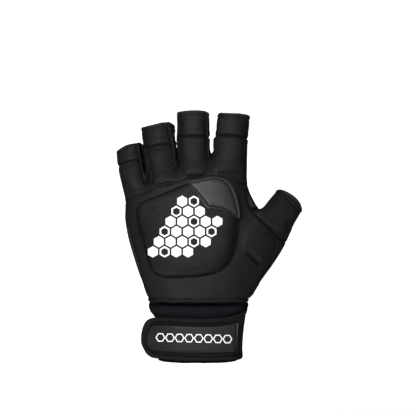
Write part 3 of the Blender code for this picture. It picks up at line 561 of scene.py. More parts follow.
class Finish:
    """A material with one Principled shader, and the nodes that feed it."""

    def __init__(self, name, **constants):
        self.material = bpy.data.materials.new(name)
        self.material.use_nodes = True
        self.tree = self.material.node_tree
        self.shader = self.tree.nodes["Principled BSDF"]
        for socket, value in constants.items():
            self.shader.inputs[socket.replace("_", " ")].default_value = value
        self.place = self.node("ShaderNodeTexCoord", output="Object")

    def node(self, kind, sockets=None, output=0, **settings):
        """Adds a node: first its settings, then the values or links of its sockets. It gives one output."""
        made = self.tree.nodes.new(kind)
        for name, value in settings.items():
            setattr(made, name, value)
        for name, value in (sockets or {}).items():
            if isinstance(value, Value):
                self.tree.links.new(value.socket, made.inputs[name])
            else:
                made.inputs[name].default_value = value
        return Value(self, made.outputs[output])

    def maths(self, operation, left, right=0.5):
        return self.node("ShaderNodeMath", {0: left, 1: right}, operation=operation)

    def noise(self, scale, detail=2.0, roughness=0.5):
        """Smooth noise from 0 to 1, with about this many blotches in a metre."""
        return self.node("ShaderNodeTexNoise", {"Vector": self.place, "Scale": scale, "Detail": detail,
                                                "Roughness": roughness})

    def attribute(self, name):
        return self.node("ShaderNodeAttribute", output="Fac", attribute_name=name)

    def creases(self):
        """Painted shade: thin dark lines in the grooves of seams and folds, with a soft painted shadow beside them,
        from 0 to 1.
        """
        line = self.node("ShaderNodeMapRange", {0: self.attribute("painted_crevice_shade"), 1: 0.80, 2: 0.92, 3: 0.0, 4: 0.9})
        return self.maths("MAXIMUM", line, self.attribute("shadow"))

    def across(self, start, end, top):
        """From 0 to a top value between two places across the glove, for shade and light painted across a piece."""
        x = self.node("ShaderNodeSeparateXYZ", {"Vector": self.place})
        return self.node("ShaderNodeMapRange", {0: x, 1: start, 2: end, 3: 0.0, 4: top})

    def mix(self, factor, first, second):
        """A mix of two colours."""
        return self.node("ShaderNodeMix", {0: factor, 6: first, 7: second}, output=2, data_type="RGBA")

    def grain(self, height, depth):
        """A bump of this depth in metres where the height goes from 0 to 1."""
        self.feed("Normal", self.node("ShaderNodeBump", {"Height": height, "Distance": depth, "Strength": 1.0}))

    def feed(self, socket, value):
        self.tree.links.new(value.socket, self.shader.inputs[socket])

    def threads(self, across, up):
        """Fine rows of knit loops, from 0 to 1, this many in a metre across and up, on every side of the glove."""
        x, y, z = (self.node("ShaderNodeSeparateXYZ", {"Vector": self.place}, output=k) for k in range(3))
        normal = self.node("ShaderNodeTexCoord", output="Normal")
        turn = self.node("ShaderNodeSeparateXYZ", {"Vector": normal}, output=1)
        face_on = self.maths("GREATER_THAN", turn * turn)
        run = x * face_on + y * (1.0 - face_on)
        rows = self.maths("SINE", z * (up * 2 * math.pi))
        wales = self.maths("SINE", run * (across * 2 * math.pi))
        return (rows * wales) * 0.25 + wales * 0.25 + 0.5


def shade(red, green=None, blue=None):
    """A linear colour, grey where one number is given."""
    return (red, red if green is None else green, red if blue is None else blue, 1.0)


def dress(piece, finish, *nodes, over=None):
    """Gives a piece its finish, in place of CAD nodes. The over argument, a node it lies over, is not used."""
    piece.data.materials.append(finish.material)
    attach(piece, "root")
    if nodes:
        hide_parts(*nodes)


jersey = Finish("black_jersey", Specular_IOR_Level=0.12)
mottle = jersey.noise(160.0, 5.0, 0.65) * 0.3 + jersey.noise(24.0, 2.0) * 0.2 + jersey.noise(850.0, 3.0, 0.6) * 0.5
speckled = jersey.node("ShaderNodeMapRange", {0: mottle, 1: 0.36, 2: 0.64, 3: 0.0, 4: 1.0})
light = jersey.mix(speckled, shade(0.0066, 0.0065, 0.0064), shade(0.0142, 0.0140, 0.0138))
# Painted highlights lighten the jersey, and painted shade darkens its seams and folds.
highlighted = jersey.mix(jersey.attribute("painted_highlight_and_pale_edge") * 0.85, light, shade(0.034, 0.0334, 0.0328))
jersey.feed("Base Color", jersey.mix(jersey.creases(), highlighted, shade(0.0018)))
jersey.feed("Roughness", 0.54 + mottle * 0.08 + jersey.creases() * 0.3)
jersey.grain(jersey.threads(1250.0, 1400.0) * 0.6 + jersey.noise(900.0, 3.0, 0.6) * 0.4, 0.00012)
dress(shell, jersey, *SHELL_NODES)


# Stitches: short lengths of black thread, each one a rounded dash that is half sunk in the cloth. One stitch is
# modelled, and rows of it are sewn along lines on the finished cloth.
bpy.ops.object.select_all(action="DESELECT")
bpy.ops.mesh.primitive_uv_sphere_add(segments=6, ring_count=5, radius=0.5, rotation=(0, math.pi / 2, 0))
bpy.ops.object.transform_apply(location=True, rotation=True, scale=True)
one_stitch = bpy.context.object


def sew(name, rows, pitch=0.0024, length=0.0015, thick=0.0009, sunk=0.05):
    """Sews rows of stitches, each along a line of places and normals on the cloth, into one mesh."""
    dash = np.array([v.co for v in one_stitch.data.vertices])
    sides = [tuple(f.vertices) for f in one_stitch.data.polygons]
    points, faces = [], []
    for places, normals in rows:
        run = np.r_[0, np.cumsum(np.linalg.norm(np.diff(places, axis=0), axis=1))]
        stations = np.arange(pitch / 2, run[-1], pitch)
        at, up = (np.stack([np.interp(stations, run, v[:, k]) for k in range(3)], 1) for v in (places, normals))
        ahead, behind = (np.stack([np.interp(stations + s, run, places[:, k]) for k in range(3)], 1)
                         for s in (pitch / 2, -pitch / 2))
        along = (ahead - behind) / np.maximum(np.linalg.norm(ahead - behind, axis=1), 1e-9)[:, None]
        up = up - along * (up * along).sum(1)[:, None]
        up /= np.linalg.norm(up, axis=1)[:, None]
        aside = np.cross(up, along)
        for place, x, y, z in zip(at, along * length, aside * thick, up * thick):
            faces += [tuple(corner + len(points) for corner in side) for side in sides]
            points += list(place - z * sunk + dash[:, :1] * x + dash[:, 1:2] * y + dash[:, 2:] * z)
    mesh = bpy.data.meshes.new(name)
    mesh.from_pydata([tuple(p) for p in points], [], faces)
    piece = bpy.data.objects.new(name, mesh)
    bpy.context.scene.collection.objects.link(piece)
    select_only(piece)
    bpy.ops.object.shade_smooth()
    dress(piece, thread, over="hand_shell")


def closed_ring(points):
    """Points round the glove in order of their turn about its upright middle, as one smooth closed line."""
    middle = (points.min(0) + points.max(0)) / 2
    turn = np.arctan2((points[:, 1] - middle[1]) * 2, points[:, 0] - middle[0])
    bins = np.linspace(-math.pi, math.pi, 61)
    ring = np.array([points[(turn >= a) & (turn < b)].mean(0) for a, b in zip(bins, bins[1:])
                     if ((turn >= a) & (turn < b)).any()])
    for _ in range(3):
        ring = (np.roll(ring, 1, 0) + 2 * ring + np.roll(ring, -1, 0)) / 4
    return smooth_path(ring, 0.0005, True)


thread = Finish("black_thread", Specular_IOR_Level=0.0)
thread.feed("Base Color", thread.mix(thread.noise(1400.0), shade(0.0015), shade(0.0045)))
thread.feed("Roughness", thread.noise(900.0) * 0.2 + 0.6)
knuckle_ring = closed_ring(seam_between("hand_shell", "finger_section"))
thumb_seam = skin.seen([(251, 210.5), (260, 219.5), (270, 229.5), (280, 240), (283, 242.5)])
side_seams = [skin.seen([(272.6, 264), (262.5, 277.4), (256, 286), (251.2, 294)]),
              skin.seen([(128.2, 224), (131.6, 238), (134.8, 250), (138, 260.5), (141.3, 272), (144.5, 284),
                         (147.8, 295)])]
sew("knuckle_stitches", [skin.nearest(knuckle_ring), thumb_seam])
sew("side_stitches", side_seams, thick=0.0006)


# Gap seams: between the fingers the back and the palm meet in a thin standing rib, with a dark line on each side of
# it. Each rib is drawn in until it sits on the jersey.
rib_cloth = Finish("rib_cloth", Specular_IOR_Level=0.0)
rib_cloth.feed("Base Color", rib_cloth.mix(rib_cloth.noise(500.0, 3.0), shade(0.009), shade(0.018)))
rib_cloth.feed("Roughness", rib_cloth.noise(300.0) * 0.1 + 0.82)
rib_cloth.grain(rib_cloth.noise(1500.0, 2.0), 0.0001)
for node in ("little_ring_gap_seam", "ring_middle_gap_seam", "middle_index_gap_seam"):
    rib = copy_of(node, node + "_rib")
    keep_sharp(rib, 0.35, 35)
    smooth(rib, 2)
    ribbing = Surface(rib)
    pull(ribbing, PULLS)
    if node == "little_ring_gap_seam":
        x, y = pixels_of(ribbing.places).T
        lower = np.interp(y, [141, 157, 166, 172, 179], [0.0, 0.0, 0.2, 0.45, 1.0])
        centre = np.interp(y, [141, 157, 166.5, 172, 179], [141.2, 142.6, 143.4, 143.3, 144.2])
        side = np.clip((x - centre) / (1.2 - 0.6 * lower) * 0.5 + 0.5, 0, 1)
        left = np.interp(y, [147, 157, 163, 172, 178], [-0.2, 0.7, 1.2, 1.2, 0.6])
        right = np.interp(y, [141, 157, 166, 172, 177], [-0.8, -0.5, 1.5, 3.0, 4.0])
        step = (ribbing.places[:, 1] - camera.location.y) / PIXELS_PER_UNIT
        new = x + left + (right - left) * side
        outer = np.interp(y, [147, 154, 163, 171, 178], [145.6, 146.3, 147.8, 149.2, 150.0])
        thinner = np.interp(y, [147, 156, 163, 171, 178], [0.0, 0.25, 0.4, 0.2, 0.0])
        new += side * (thinner * (outer - new) + np.interp(y, [150, 160, 178], [0.0, 0.6, 0.5]))
        ribbing.places[:, 0] += (new - x) * step
        ribbing.places[:, 2] -= (3.4 * ramp(y, 158, 21) + 0.92 * np.clip(144 - y, 0, 40)) * step
    near, facing = skin.nearest(ribbing.places)
    far = ((ribbing.places - near) * facing).sum(1)
    cloud = tree_of(ribbing.places)
    shift = np.zeros_like(ribbing.places)
    for i, place in enumerate(ribbing.places.tolist()):
        around = [k for _, k, _ in cloud.find_range(place, 0.0022)]
        lowest = min(around, key=lambda k: far[k])
        shift[i] = -facing[lowest] * min(far[lowest] + 0.0006, 0.0030)
    shift = np.array([shift[[k for _, k, _ in cloud.find_range(place, 0.004)]].mean(0)
                      for place in ribbing.places.tolist()])
    ribbing.places += shift
    ribbing.keep_places()
    dress(rib, rib_cloth, node)

# The walls of the narrow gap between the little finger and the ring finger meet behind the rib, where they are painted
# black as shade.
skin = Surface(shell)
pull(skin, SLOT_PULLS, np.clip(skin.normals[:, 1] * 2.5 + 1.1, 0, 1))
skin.finish()
skin = Surface(shell)
skin.darken(skin.within(GAPS[0], 0.8, 0.9))
skin.finish()


# The knuckle pad: a thick foam pad under one piece of jersey, sewn to the back of the hand round its edge. The copy
# is blown up by a short cloth simulation so that it is fullest in its middle, held at its edge and underneath.
def height_over(carrier, surface):
    """How high each point of a surface is over what carries it."""
    return np.linalg.norm(surface.places - carrier.nearest(surface.places)[0], axis=1)


pad = copy_of("knuckle_pad", "padded_back")
smooth(pad, 1)
padding = Surface(pad)
height = height_over(skin, padding)
PATCH_EDGE = [(189.5, 183), (200, 180.5), (210, 178.5), (218, 178), (226, 181), (231, 186), (235, 195), (237, 205),
              (239, 219), (231, 213), (222, 209.5), (212, 207.5), (208.5, 208.5), (205, 205), (200, 198)]
under_patch = padding.within(PATCH_EDGE, 5.0)
free = ramp(height, 0.0022, 0.0015) * (1 - under_patch) * (padding.normals[:, 1] < 0.2)
BLOW_STEPS = 14
held = pad.vertex_groups.new(name="held")
for number, value in enumerate(1 - free):
    held.add([number], float(value), "REPLACE")
air = pad.modifiers.new("air", "CLOTH")
air.settings.use_pressure = True
air.settings.uniform_pressure_force = 60.0
air.settings.mass = 0.001
air.settings.tension_stiffness = air.settings.compression_stiffness = 6.0
air.settings.bending_stiffness = 0.05
air.settings.vertex_group_mass = "held"
air.settings.effector_weights.gravity = 0.0
air.settings.quality = 5
air.point_cache.frame_start, air.point_cache.frame_end = 1, BLOW_STEPS
for step in range(1, BLOW_STEPS + 1):
    bpy.context.scene.frame_set(step)
blown = pad.evaluated_get(bpy.context.evaluated_depsgraph_get())
moved = np.empty((len(pad.data.vertices), 3))
blown.data.vertices.foreach_get("co", moved.reshape(-1))
bpy.context.scene.frame_set(1)
pad.modifiers.remove(air)
pad.vertex_groups.remove(held)
shift = moved - padding.places
size = np.maximum(np.linalg.norm(shift, axis=1), 1e-9)
shift *= (np.minimum(size, 0.0009) / size * free)[:, None]
padding.places += shift
padding.keep_places()
smooth(pad, 1)
padding = Surface(pad)
PAD_EDGE = [(141, 203.5), (150, 199), (160, 195), (170, 191), (180, 187), (190, 183), (200, 181.5), (210, 179.5),
            (218, 179), (226, 182), (231.5, 188), (235, 198), (237, 208), (237.5, 219), (237.5, 228), (236, 240),
            (234, 250), (230, 260.5), (224.5, 267), (215, 272.5), (200, 275.5), (180, 277), (165, 277), (157, 274.5),
            (151, 268), (147, 255), (143, 240), (140, 232), (137.8, 220), (137.2, 210.5)]
pad_edge, _ = padding.seen(PAD_EDGE, closed=True)
cut_finer(pad, pad_edge, 0.0028)
padding = Surface(pad)
padding.roughen(0.018, 0.00030, 5)
padding.press(pad_edge, 0.0006, 0.0007, dark=0.5, fade=0)
height = height_over(skin, padding)
# Painted shade at the foot of the pad, where it meets the hand.
padding.darken(0.5 * np.clip(1 - height / 0.0018, 0, 1))
x, y = padding.pixels.T
# The right side of the pad slopes down, and is painted dark there as shade.
from_right = np.interp(y, [205, 219, 228, 240, 250, 260.5, 267, 272.5, 277],
                       [237.5, 239, 239, 237.6, 235.6, 231.6, 226.6, 216.4, 200]) - x
facing = np.clip((0.12 - padding.normals[:, 1]) * 5, 0, 1)
slope = np.clip(1 - from_right / 10.5, 0, 1) ** 1.2 * ramp(y, 205, 12) * ramp(y, 276, -10) * facing
padding.rise -= 0.0021 * slope * np.clip(height / 0.004, 0, 1)
padding.darken(0.95 * slope)
# Painted shade in a band inside the pad's left edge.
from_left = x - np.interp(y, [205, 220, 240, 255, 268, 274], [137.3, 137.8, 143, 147, 151, 157])
padding.darken(0.6 * np.clip(1 - from_left / 5.5, 0, 1) * ramp(y, 203, 6) * ramp(y, 274, -10) * facing)
# A painted highlight along the pad's lower edge.
lower_edge = np.interp(x, [150, 165, 185, 200], [268, 273, 273, 271.5])
padding.lighten(0.35 * hump(y, lower_edge, 1.0) * ((x > 155) & (x < 205)) * (padding.normals[:, 1] < 0))
# A low ridge across the top of the pad, with a faint painted highlight.
pad_top, _ = padding.seen([(150, 208), (160, 203), (175, 197), (188, 192.5)])
padding.press(pad_top, -0.0002, 0.0016, painted_highlight_and_pale_edge=0.15)
padding.finish()
dress(pad, jersey, "knuckle_pad")
sew("pad_stitches", [padding.seen(PAD_EDGE[18:] + PAD_EDGE[:6])], pitch=0.0022)


# The corner patch: a smooth, slightly glossy synthetic leather over the knuckle of the forefinger, laid on the pad
# and sewn inside its pale cut edge.
patch = copy_of("corner_patch", "leather_patch")
PATCH_X, PATCH_Z = 0.0135, 0.1261
for vertex in patch.data.vertices:  # a little larger than the solid, about its middle
    vertex.co.x = PATCH_X + (vertex.co.x - PATCH_X) * 1.065
    vertex.co.z = PATCH_Z + (vertex.co.z - PATCH_Z) * 1.075
keep_sharp(patch, 0.85, 40)
smooth(patch, 2)
leather = Surface(patch)
PATCH_STITCH = [(190.3, 183.2), (200, 181), (210, 178.9), (218, 178.6), (224, 181.2), (229.5, 187), (233.5, 195.5),
                (236, 205), (237.8, 216.3), (230, 211.5), (222, 208.2), (214, 206.6), (209.5, 206.2), (206.5, 203),
                (201, 196.3), (196, 190)]
stitched, _ = leather.seen(PATCH_STITCH, closed=True)
cut_finer(patch, stitched, 0.0026)
leather = Surface(patch)
leather.rise += 0.0006 * leather.within(PATCH_STITCH, 4.0)
leather.press(stitched, 0.0006, 0.00055, dark=0.6, fade=0)
far, _ = leather.away(stitched, 0.004)
rim = np.clip((1 - leather.within(PATCH_STITCH, 1.0)) * np.clip(far / 0.0006, 0, 1), 0, 1)
leather.lighten(0.6 * rim * (leather.normals[:, 1] < 0.3))
leather.rise += 0.0002 * rim * (leather.normals[:, 1] < 0)
leather.roughen(0.012, 0.00018, 9)
leather.finish()
hide = Finish("smooth_leather", Specular_IOR_Level=0.32)
cells = hide.node("ShaderNodeTexVoronoi", {"Vector": hide.place, "Scale": 900.0}, feature="F1")
wrinkle = hide.noise(260.0, 4.0, 0.6)
face = hide.mix(hide.noise(60.0, 3.0), shade(0.0225, 0.0225, 0.0229), shade(0.034, 0.034, 0.0345))
# Painted shade: the patch darkens towards its right, where it turns away from the lamp.
face = hide.mix(hide.across(0.009, 0.028, 0.9), face, shade(0.010))
paler = hide.mix(hide.attribute("painted_highlight_and_pale_edge") * 0.6, face, shade(0.042, 0.042, 0.0425))
hide.feed("Base Color", hide.mix(hide.creases() * 0.9, paler, shade(0.005)))
hide.feed("Roughness", wrinkle * 0.14 + 0.44 + hide.attribute("painted_highlight_and_pale_edge") * 0.12)
hide.grain(cells * 0.6 + wrinkle * 0.4, 0.00005)
dress(patch, hide, "corner_patch")
sew("patch_stitches", [leather.seen(PATCH_STITCH + PATCH_STITCH[:1])], pitch=0.0020, thick=0.00045, sunk=0.0)


# The print: plain white hexagons, some solid and some only outlined, of thick ink on the pad. Each is a flat
# six-sided shape, cut finely and laid on the pad, a little proud of it.
INK_PROUD, INK_THICKNESS = 0.00012, 0.0002


def lay_hexagon(surface, x, y, across, line=None, turn=0.0):
    """A hexagon of ink at a pixel, this many pixels from flat to flat, solid or as an outline of a width."""
    bpy.ops.object.select_all(action="DESELECT")
    bpy.ops.mesh.primitive_circle_add(vertices=6, radius=across / math.sqrt(3), fill_type="NGON", rotation=(0, 0, turn))
    bpy.ops.object.transform_apply(location=True, rotation=True, scale=True)
    ink = bpy.context.object
    with editing("FACE"):
        bpy.ops.mesh.select_all(action="SELECT")
        bpy.ops.mesh.inset(thickness=line if line else across * 0.24, depth=0)
        if line:
            bpy.ops.mesh.delete(type="FACE")
        else:
            bpy.ops.mesh.poke()
        bpy.ops.mesh.select_all(action="SELECT")
        bpy.ops.mesh.subdivide(number_cuts=5 if line else 3)
    for vertex in ink.data.vertices:
        place, normal = hit(surface.tree, x + vertex.co.x, y - vertex.co.y)
        if place:
            vertex.co = place + normal * INK_PROUD
    film = ink.modifiers.new("film", "SOLIDIFY")
    film.thickness, film.offset = INK_THICKNESS, 0.0
    apply_all(ink)
    return ink


def join_ink(pieces, name, slot):
    """Makes one print of its hexagons."""
    select_only(*pieces)
    bpy.ops.object.join()
    pieces[0].name = name
    dress(pieces[0], ink_white, over=slot)


ink_white = Finish("white_ink", Specular_IOR_Level=0.25)
ink_white.feed("Base Color", ink_white.mix(ink_white.noise(300.0, 3.0), shade(0.86), shade(0.92)))
ink_white.feed("Roughness", ink_white.noise(500.0) * 0.12 + 0.5)
ink_white.grain(ink_white.noise(1200.0, 2.0), 0.00005)
ACROSS, APART, OUTLINE = 9.9, 11.7, 1.6
PRINT_ROWS = [(251.8, 153.0, "SOSS"), (241.7, 158.9, "SSSOS"), (231.6, 164.7, "OSSSO"), (221.5, 170.6, "SSOSS"),
              (211.4, 176.4, "OSS"), (201.3, 182.2, "SO")]
hexagons = [lay_hexagon(padding, start + column * APART, y, ACROSS, OUTLINE if kind == "O" else None)
            for y, start, kinds in PRINT_ROWS for column, kind in enumerate(kinds)]
join_ink(hexagons, "pad_print", "knuckle_pad")


# The cuff: a ribbed elastic band of dark navy yarn under the strap, and the welt above it, a folded strip of jersey
# that joins it to the hand and is stitched along both of its edges.
CUFF_RIBS = 84
WRIST_FLATNESS = 1.55  # how many times as wide as deep the wrist is
cuff = copy_of("wrist_band", "ribbed_cuff")
cut_edges(cuff)
smooth(cuff, 2)
ribs = Surface(cuff)
x, y, z = ribs.places.T
turn = np.arctan2(y * WRIST_FLATNESS, x)
ribs.rise += 0.00012 * np.sin(turn * CUFF_RIBS) * ribs.outside
ribs.roughen(0.010, 0.00025, 12)
# Painted shade on the cuff under the welt, and the cuff's lowest rim painted darker.
near_top = hump(z, 0.0425, 0.0014) * ribs.outside
ribs.darken(0.9 * near_top)
ribs.darken(0.75 * ramp(z, 0.0045, -0.002) * ribs.outside)
ribs.rise -= 0.0004 * near_top
ribs.rise += 0.0006 * ramp(z, 0.034, 0.004) * ribs.outside
ribs.rise += 0.0016 * ramp(z, 0.032, 0.004) * ramp(np.abs(x), 0.022, 0.008) * ribs.outside
# At the right end the cuff bulges out under the welt, and is painted dark there as shade.
end = ramp(x, 0.028, 0.004) * ramp(z, 0.0385, 0.003) * ribs.outside
ribs.rise += 0.0010 * end
ribs.darken(0.85 * end)
ribs.places[:, 2] -= 0.0008 * ramp(z, 0.004, -0.003)
ribs.finish()
elastic = Finish("navy_elastic", Specular_IOR_Level=0.0)
yarn = elastic.noise(420.0, 4.0, 0.7)
knit = elastic.mix(yarn, shade(0.0064, 0.0058, 0.0080), shade(0.0134, 0.0124, 0.0161))
elastic.feed("Base Color", elastic.mix(elastic.creases(), knit, shade(0.002)))
elastic.feed("Roughness", 0.95 - yarn * 0.1)
elastic.grain(elastic.threads(1100.0, 900.0) * 0.6 + yarn * 0.4, 0.00018)
dress(cuff, elastic, "wrist_band")

welt = copy_of("wrist_welt", "folded_welt")
for vertex in welt.data.vertices:  # the folded strip is higher than the solid, and reaches up over the hand's hem
    vertex.co.z = 0.0457 + (vertex.co.z - 0.0446) * 1.75
keep_sharp(welt, 0.5, 35)
smooth(welt, 2)
fold = Surface(welt)
fold.roughen(0.007, 0.00018, 14)
turn = np.arctan2(fold.places[:, 1] * WRIST_FLATNESS, fold.places[:, 0])
level = fold.places[:, 2] + 0.0003 * np.sin(turn * 9 + 1) + 0.0002 * np.sin(turn * 23)
fold.places[:, 2] -= 0.0004 * np.sin(turn * 11) * np.abs(np.cos(turn))
# A painted highlight along the fold, a painted dark line above it and painted shade below it. The whole welt is a
# little darker.
fold.painted_highlight_and_pale_edge = np.clip(1 - np.abs(level - 0.0460) / 0.0008, 0, 1) * 0.2
fold.rise -= 0.0004 * hump(level, 0.0474, 0.0005)
fold.rise += 0.0010 * ramp(np.abs(fold.places[:, 0]), 0.025, 0.006) * ramp(level, 0.0470, -0.001)
fold.rise -= 0.0007 * ramp(level, 0.0450, -0.0008)
fold.darken(0.25 + 0.55 * hump(level, 0.0475, 0.0007))
fold.darken(0.85 * ramp(level, 0.0454, -0.0006))
fold.finish()
dress(welt, jersey, "wrist_welt")


def ring_at(surface, height):
    """A line round the wrist at a height, on the outside of a surface: its places and normals."""
    places, normals = [], []
    for turn in np.radians(np.arange(0, 360.75, 1.5)):
        way = Vector((math.cos(turn), math.sin(turn), 0))
        place, normal, _, _ = surface.tree.ray_cast(way * 0.09 + Vector((0, 0, height)), -way)
        if place:
            places.append(place)
            normals.append(normal)
    return np.array(places), np.array(normals)


sew("welt_stitches", [ring_at(fold, 0.0474), ring_at(fold, 0.0440)], pitch=0.0022, thick=0.0005)


# The wrist strap: a wide band with a hook-and-loop end, bound round its edge with folded woven tape, with a grey
# leather facing sewn on it. The rounded end lies free at the left.
strap = copy_of("strap", "strap_body")
keep_sharp(strap, 1.0, 40)
smooth(strap, 2)
band = Surface(strap)
band.roughen(0.012, 0.0002, 21)
band.finish()
webbing = Finish("dark_webbing", Specular_IOR_Level=0.0)
loops = webbing.noise(700.0, 4.0, 0.7)
weave = webbing.mix(loops, shade(0.0085, 0.0082, 0.0088), shade(0.0200, 0.0192, 0.0204))
webbing.feed("Base Color", webbing.mix(webbing.creases(), weave, shade(0.002)))
webbing.feed("Roughness", 0.95 - loops * 0.15)
webbing.grain(loops * 0.6 + webbing.threads(900.0, 900.0) * 0.4, 0.0003)
dress(strap, webbing, "strap")

facing = copy_of("strap_label", "strap_facing")
keep_sharp(facing, 0.9, 40)
smooth(facing, 2)
front = Surface(facing)
spine, spine_up = front.seen([(160, 338.8), (180, 340), (205, 340.8), (226, 340.3)])
spine_tree = tree_of(spine)


WRIST_RADII = (0.031, 0.0195)
STRAP_MIDDLE = 0.0190


def strap_frame(places):
    """At each place on the strap: its way out from the wrist, its way in to the strap's middle line, and how far in."""
    out = places * np.array([1 / WRIST_RADII[0] ** 2, 1 / WRIST_RADII[1] ** 2, 0])
    inward = np.zeros_like(places)
    inward[:, 2] = STRAP_MIDDLE - places[:, 2]
    for i, place in enumerate(places.tolist()):
        _, k, far = spine_tree.find(place)
        if far < 0.022 and place[1] < 0.004:
            out[i] = spine_up[k]
            inward[i] = spine[k] - place
    out /= np.linalg.norm(out, axis=1)[:, None]
    inward -= out * (inward * out).sum(1)[:, None]
    far = np.linalg.norm(inward, axis=1)
    return out, inward / np.maximum(far, 1e-6)[:, None], far


_, inward, far = strap_frame(front.places)
wider = np.where(inward[:, 2] > 0.3, 0.0011, np.where(inward[:, 2] < -0.3, -0.0004, 0.0005))
wider = np.where(front.places[:, 0] > 0.027, 0.0, wider)
front.places -= inward * (wider * np.clip(far / 0.006, 0, 1))[:, None]
front.keep_places()

binding = copy_of("strap_binding", "strap_tape")
smooth(binding, 1)
tape = Surface(binding)
cloud = tree_of(tape.places)
middle = tape.places
for _ in range(2):
    middle = np.array([tape.places[[k for _, k, _ in cloud.find_range(place, 0.0032)]].mean(0)
                       for place in middle.tolist()])
out, inward, _ = strap_frame(middle)
offset = tape.places - middle
deep, high = (offset * inward).sum(1), (offset * out).sum(1)
tape.places += inward * (np.maximum(deep, 0) * 1.6)[:, None]
tape.places -= out * (high * np.clip(deep / 0.0016, 0, 1) * 0.15)[:, None]
tape.places += offset * 0.06
tape.keep_places()
smooth(binding, 1)

# The rounded end reaches a little farther left, the lower edge and its tape hang a little lower, and the lower right
# corner most of all.
for piece in (strap, facing, binding):
    moved = Surface(piece)
    x, y, z = moved.places.T
    if piece is not facing:
        x -= ramp(x, -0.022, -0.012) * (0.0012 + 0.0007 * ramp(z, 0.022, -0.010))
    z -= 0.0014 * ramp(x, 0.022, 0.010) * ramp(z, 0.012, -0.006) * (y < 0)
    if piece is not facing:
        z -= 0.0019 * ramp(z, 0.0085, -0.004)
    moved.keep_places()
tape = Surface(binding)
tape.roughen(0.009, 0.00015, 23)
front = Surface(facing)
BINDING_ROW = [(238, 321.3), (225, 322.3), (205, 323.6), (190, 323.3), (175, 322), (158, 321.5), (151.5, 323.5),
               (147.5, 328), (145.3, 334),
               (144.8, 340), (146, 346), (149.5, 350.6), (156, 353.8), (170, 355.2), (190, 356.5), (205, 357),
               (222, 356.6), (237, 355.8)]
tape.press(tape.seen(BINDING_ROW)[0], 0.0003, 0.0007)
# Painted shadow on the tape and the strap along the edge of the facing.
for surface in (tape, Surface(strap)):
    surface.darken(0.9 * hump(height_over(front, surface), 0, 0.0012) * (surface.normals[:, 1] < 0))
    surface.finish()
woven = Finish("woven_tape", Specular_IOR_Level=0.0)
twill = woven.threads(1500.0, 1500.0) * 0.5 + woven.noise(600.0, 3.0, 0.6) * 0.5
tone = woven.mix(twill, shade(0.0080, 0.0079, 0.0080), shade(0.0170, 0.0168, 0.0170))
woven.feed("Base Color", woven.mix(woven.creases(), tone, shade(0.0025)))
woven.feed("Roughness", 0.92 - twill * 0.1)
woven.grain(twill, 0.00015)
dress(binding, woven, "strap_binding")
sew("binding_stitches", [tape.seen(BINDING_ROW)], pitch=0.0021, length=0.0014, thick=0.0013, sunk=0.0)

# The cuff is painted dark beside the strap, as shade.
ribs.darken(0.9 * ramp(height_over(tape, ribs), 0.0030, -0.0026) * ribs.outside)
cuff.data.attributes["shadow"].data.foreach_set("value", ribs.shadow)

RIGHT_ROW = [(235.6, 324.5), (235.8, 338), (235.4, 353.5)]
line, _ = front.seen(RIGHT_ROW)
cut_finer(facing, line, 0.0030)
front = Surface(facing)
front.press(line, 0.00035, 0.0006, dark=0.6, fade=0)
front.lighten(np.clip((front.pixels[:, 0] - 236.6) / 0.8, 0, 0.8))
front.roughen(0.014, 0.00015, 31)
front.finish()
skai = Finish("grey_facing", Specular_IOR_Level=0.20)
grains = skai.node("ShaderNodeTexVoronoi", {"Vector": skai.place, "Scale": 1100.0}, feature="F1")
body = skai.mix(skai.noise(80.0, 3.0), shade(0.012, 0.012, 0.0122), shade(0.0175, 0.0175, 0.0178))
# Painted light: the facing is lighter towards its right, where it is lit more.
body = skai.mix(skai.across(0.0, 0.030, 0.8), body, shade(0.026, 0.0255, 0.026))
pale = skai.mix(skai.attribute("painted_highlight_and_pale_edge") * 0.9, body, shade(0.110))
skai.feed("Base Color", skai.mix(skai.creases(), pale, shade(0.004)))
skai.feed("Roughness", skai.noise(300.0, 3.0) * 0.15 + 0.52)
skai.grain(grains * 0.7 + skai.noise(300.0, 3.0) * 0.3, 0.00005)
dress(facing, skai, "strap_label")
sew("facing_stitches", [front.seen(RIGHT_ROW)], pitch=0.0027, length=0.0018, thick=0.0009)
join_ink([lay_hexagon(front, 160.5 + 9.55 * k, 337.4 + 0.24 * k, 8.4, 1.0, math.pi / 6) for k in range(8)],
         "strap_print", "strap_label")
bpy.data.objects.remove(one_stitch)


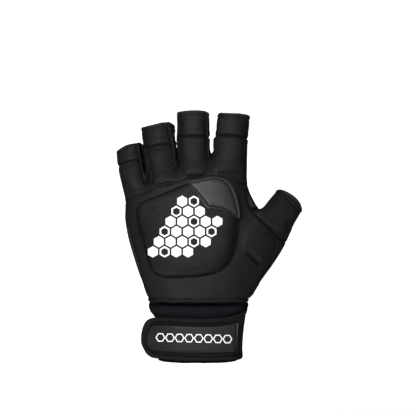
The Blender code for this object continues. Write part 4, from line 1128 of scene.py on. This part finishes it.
# The studio: a pale paper floor that curves up behind the glove into a pale wall. A large soft lamp in front, at
# the upper left, gives the light. A weak one at the right fills the shadows, and one low behind lights the back.
bpy.ops.object.select_all(action="DESELECT")
bpy.ops.mesh.primitive_grid_add(x_subdivisions=2, y_subdivisions=60, size=1)
backdrop = bpy.context.object
backdrop.name = "backdrop"
FLOOR_RUN, CURVE = 1.2, 0.3
for vertex in backdrop.data.vertices:
    run = (vertex.co.y + 0.5) * 2.6
    turn = min(max(run - FLOOR_RUN, 0.0) / CURVE, math.pi / 2)
    rest = max(run - FLOOR_RUN - CURVE * math.pi / 2, 0.0)
    vertex.co = (vertex.co.x * 1.4, min(run, FLOOR_RUN) + CURVE * math.sin(turn) - 0.4,
                 CURVE * (1 - math.cos(turn)) + rest - 0.30)
bpy.ops.object.shade_smooth()
paper = Finish("white_paper", Roughness=0.9, Specular_IOR_Level=0.1, Emission_Strength=0.55)
paper.feed("Base Color", paper.mix(paper.noise(40.0), shade(0.92), shade(0.95)))
paper.shader.inputs["Emission Color"].default_value = shade(1.0)
backdrop.data.materials.append(paper.material)
backdrop.visible_glossy = False

# The world lights the glove only faintly, and looks white to the camera.
world = bpy.data.worlds.new("studio")
bpy.context.scene.world = world
world.use_nodes = True
nodes = world.node_tree.nodes
lit, seen_world = nodes["Background"], nodes.new("ShaderNodeBackground")
for background, strength in ((lit, 0.03), (seen_world, 1.0)):
    background.inputs["Color"].default_value = shade(1.0)
    background.inputs["Strength"].default_value = strength
rays, blend = nodes.new("ShaderNodeLightPath"), nodes.new("ShaderNodeMixShader")
for source, target in ((rays.outputs["Is Camera Ray"], blend.inputs[0]), (lit.outputs[0], blend.inputs[1]),
                       (seen_world.outputs[0], blend.inputs[2]), (blend.outputs[0], nodes["World Output"].inputs[0])):
    world.node_tree.links.new(source, target)
for name, place, size, power in (("main_lamp", (-0.28, -1.25, 0.42), 0.45, 21.5),
                                 ("fill_lamp", (0.8, -1.1, 0.2), 0.8, 0.6),
                                 ("back_lamp", (0.1, 0.8, -0.15), 0.5, 4.5)):
    bpy.ops.object.light_add(type="AREA", location=place)
    lamp = bpy.context.object
    lamp.name = name
    lamp.data.energy = power
    lamp.data.size = size
    lamp.rotation_euler = (Vector((0, 0, 0.10)) - Vector(place)).to_track_quat("-Z", "Y").to_euler()
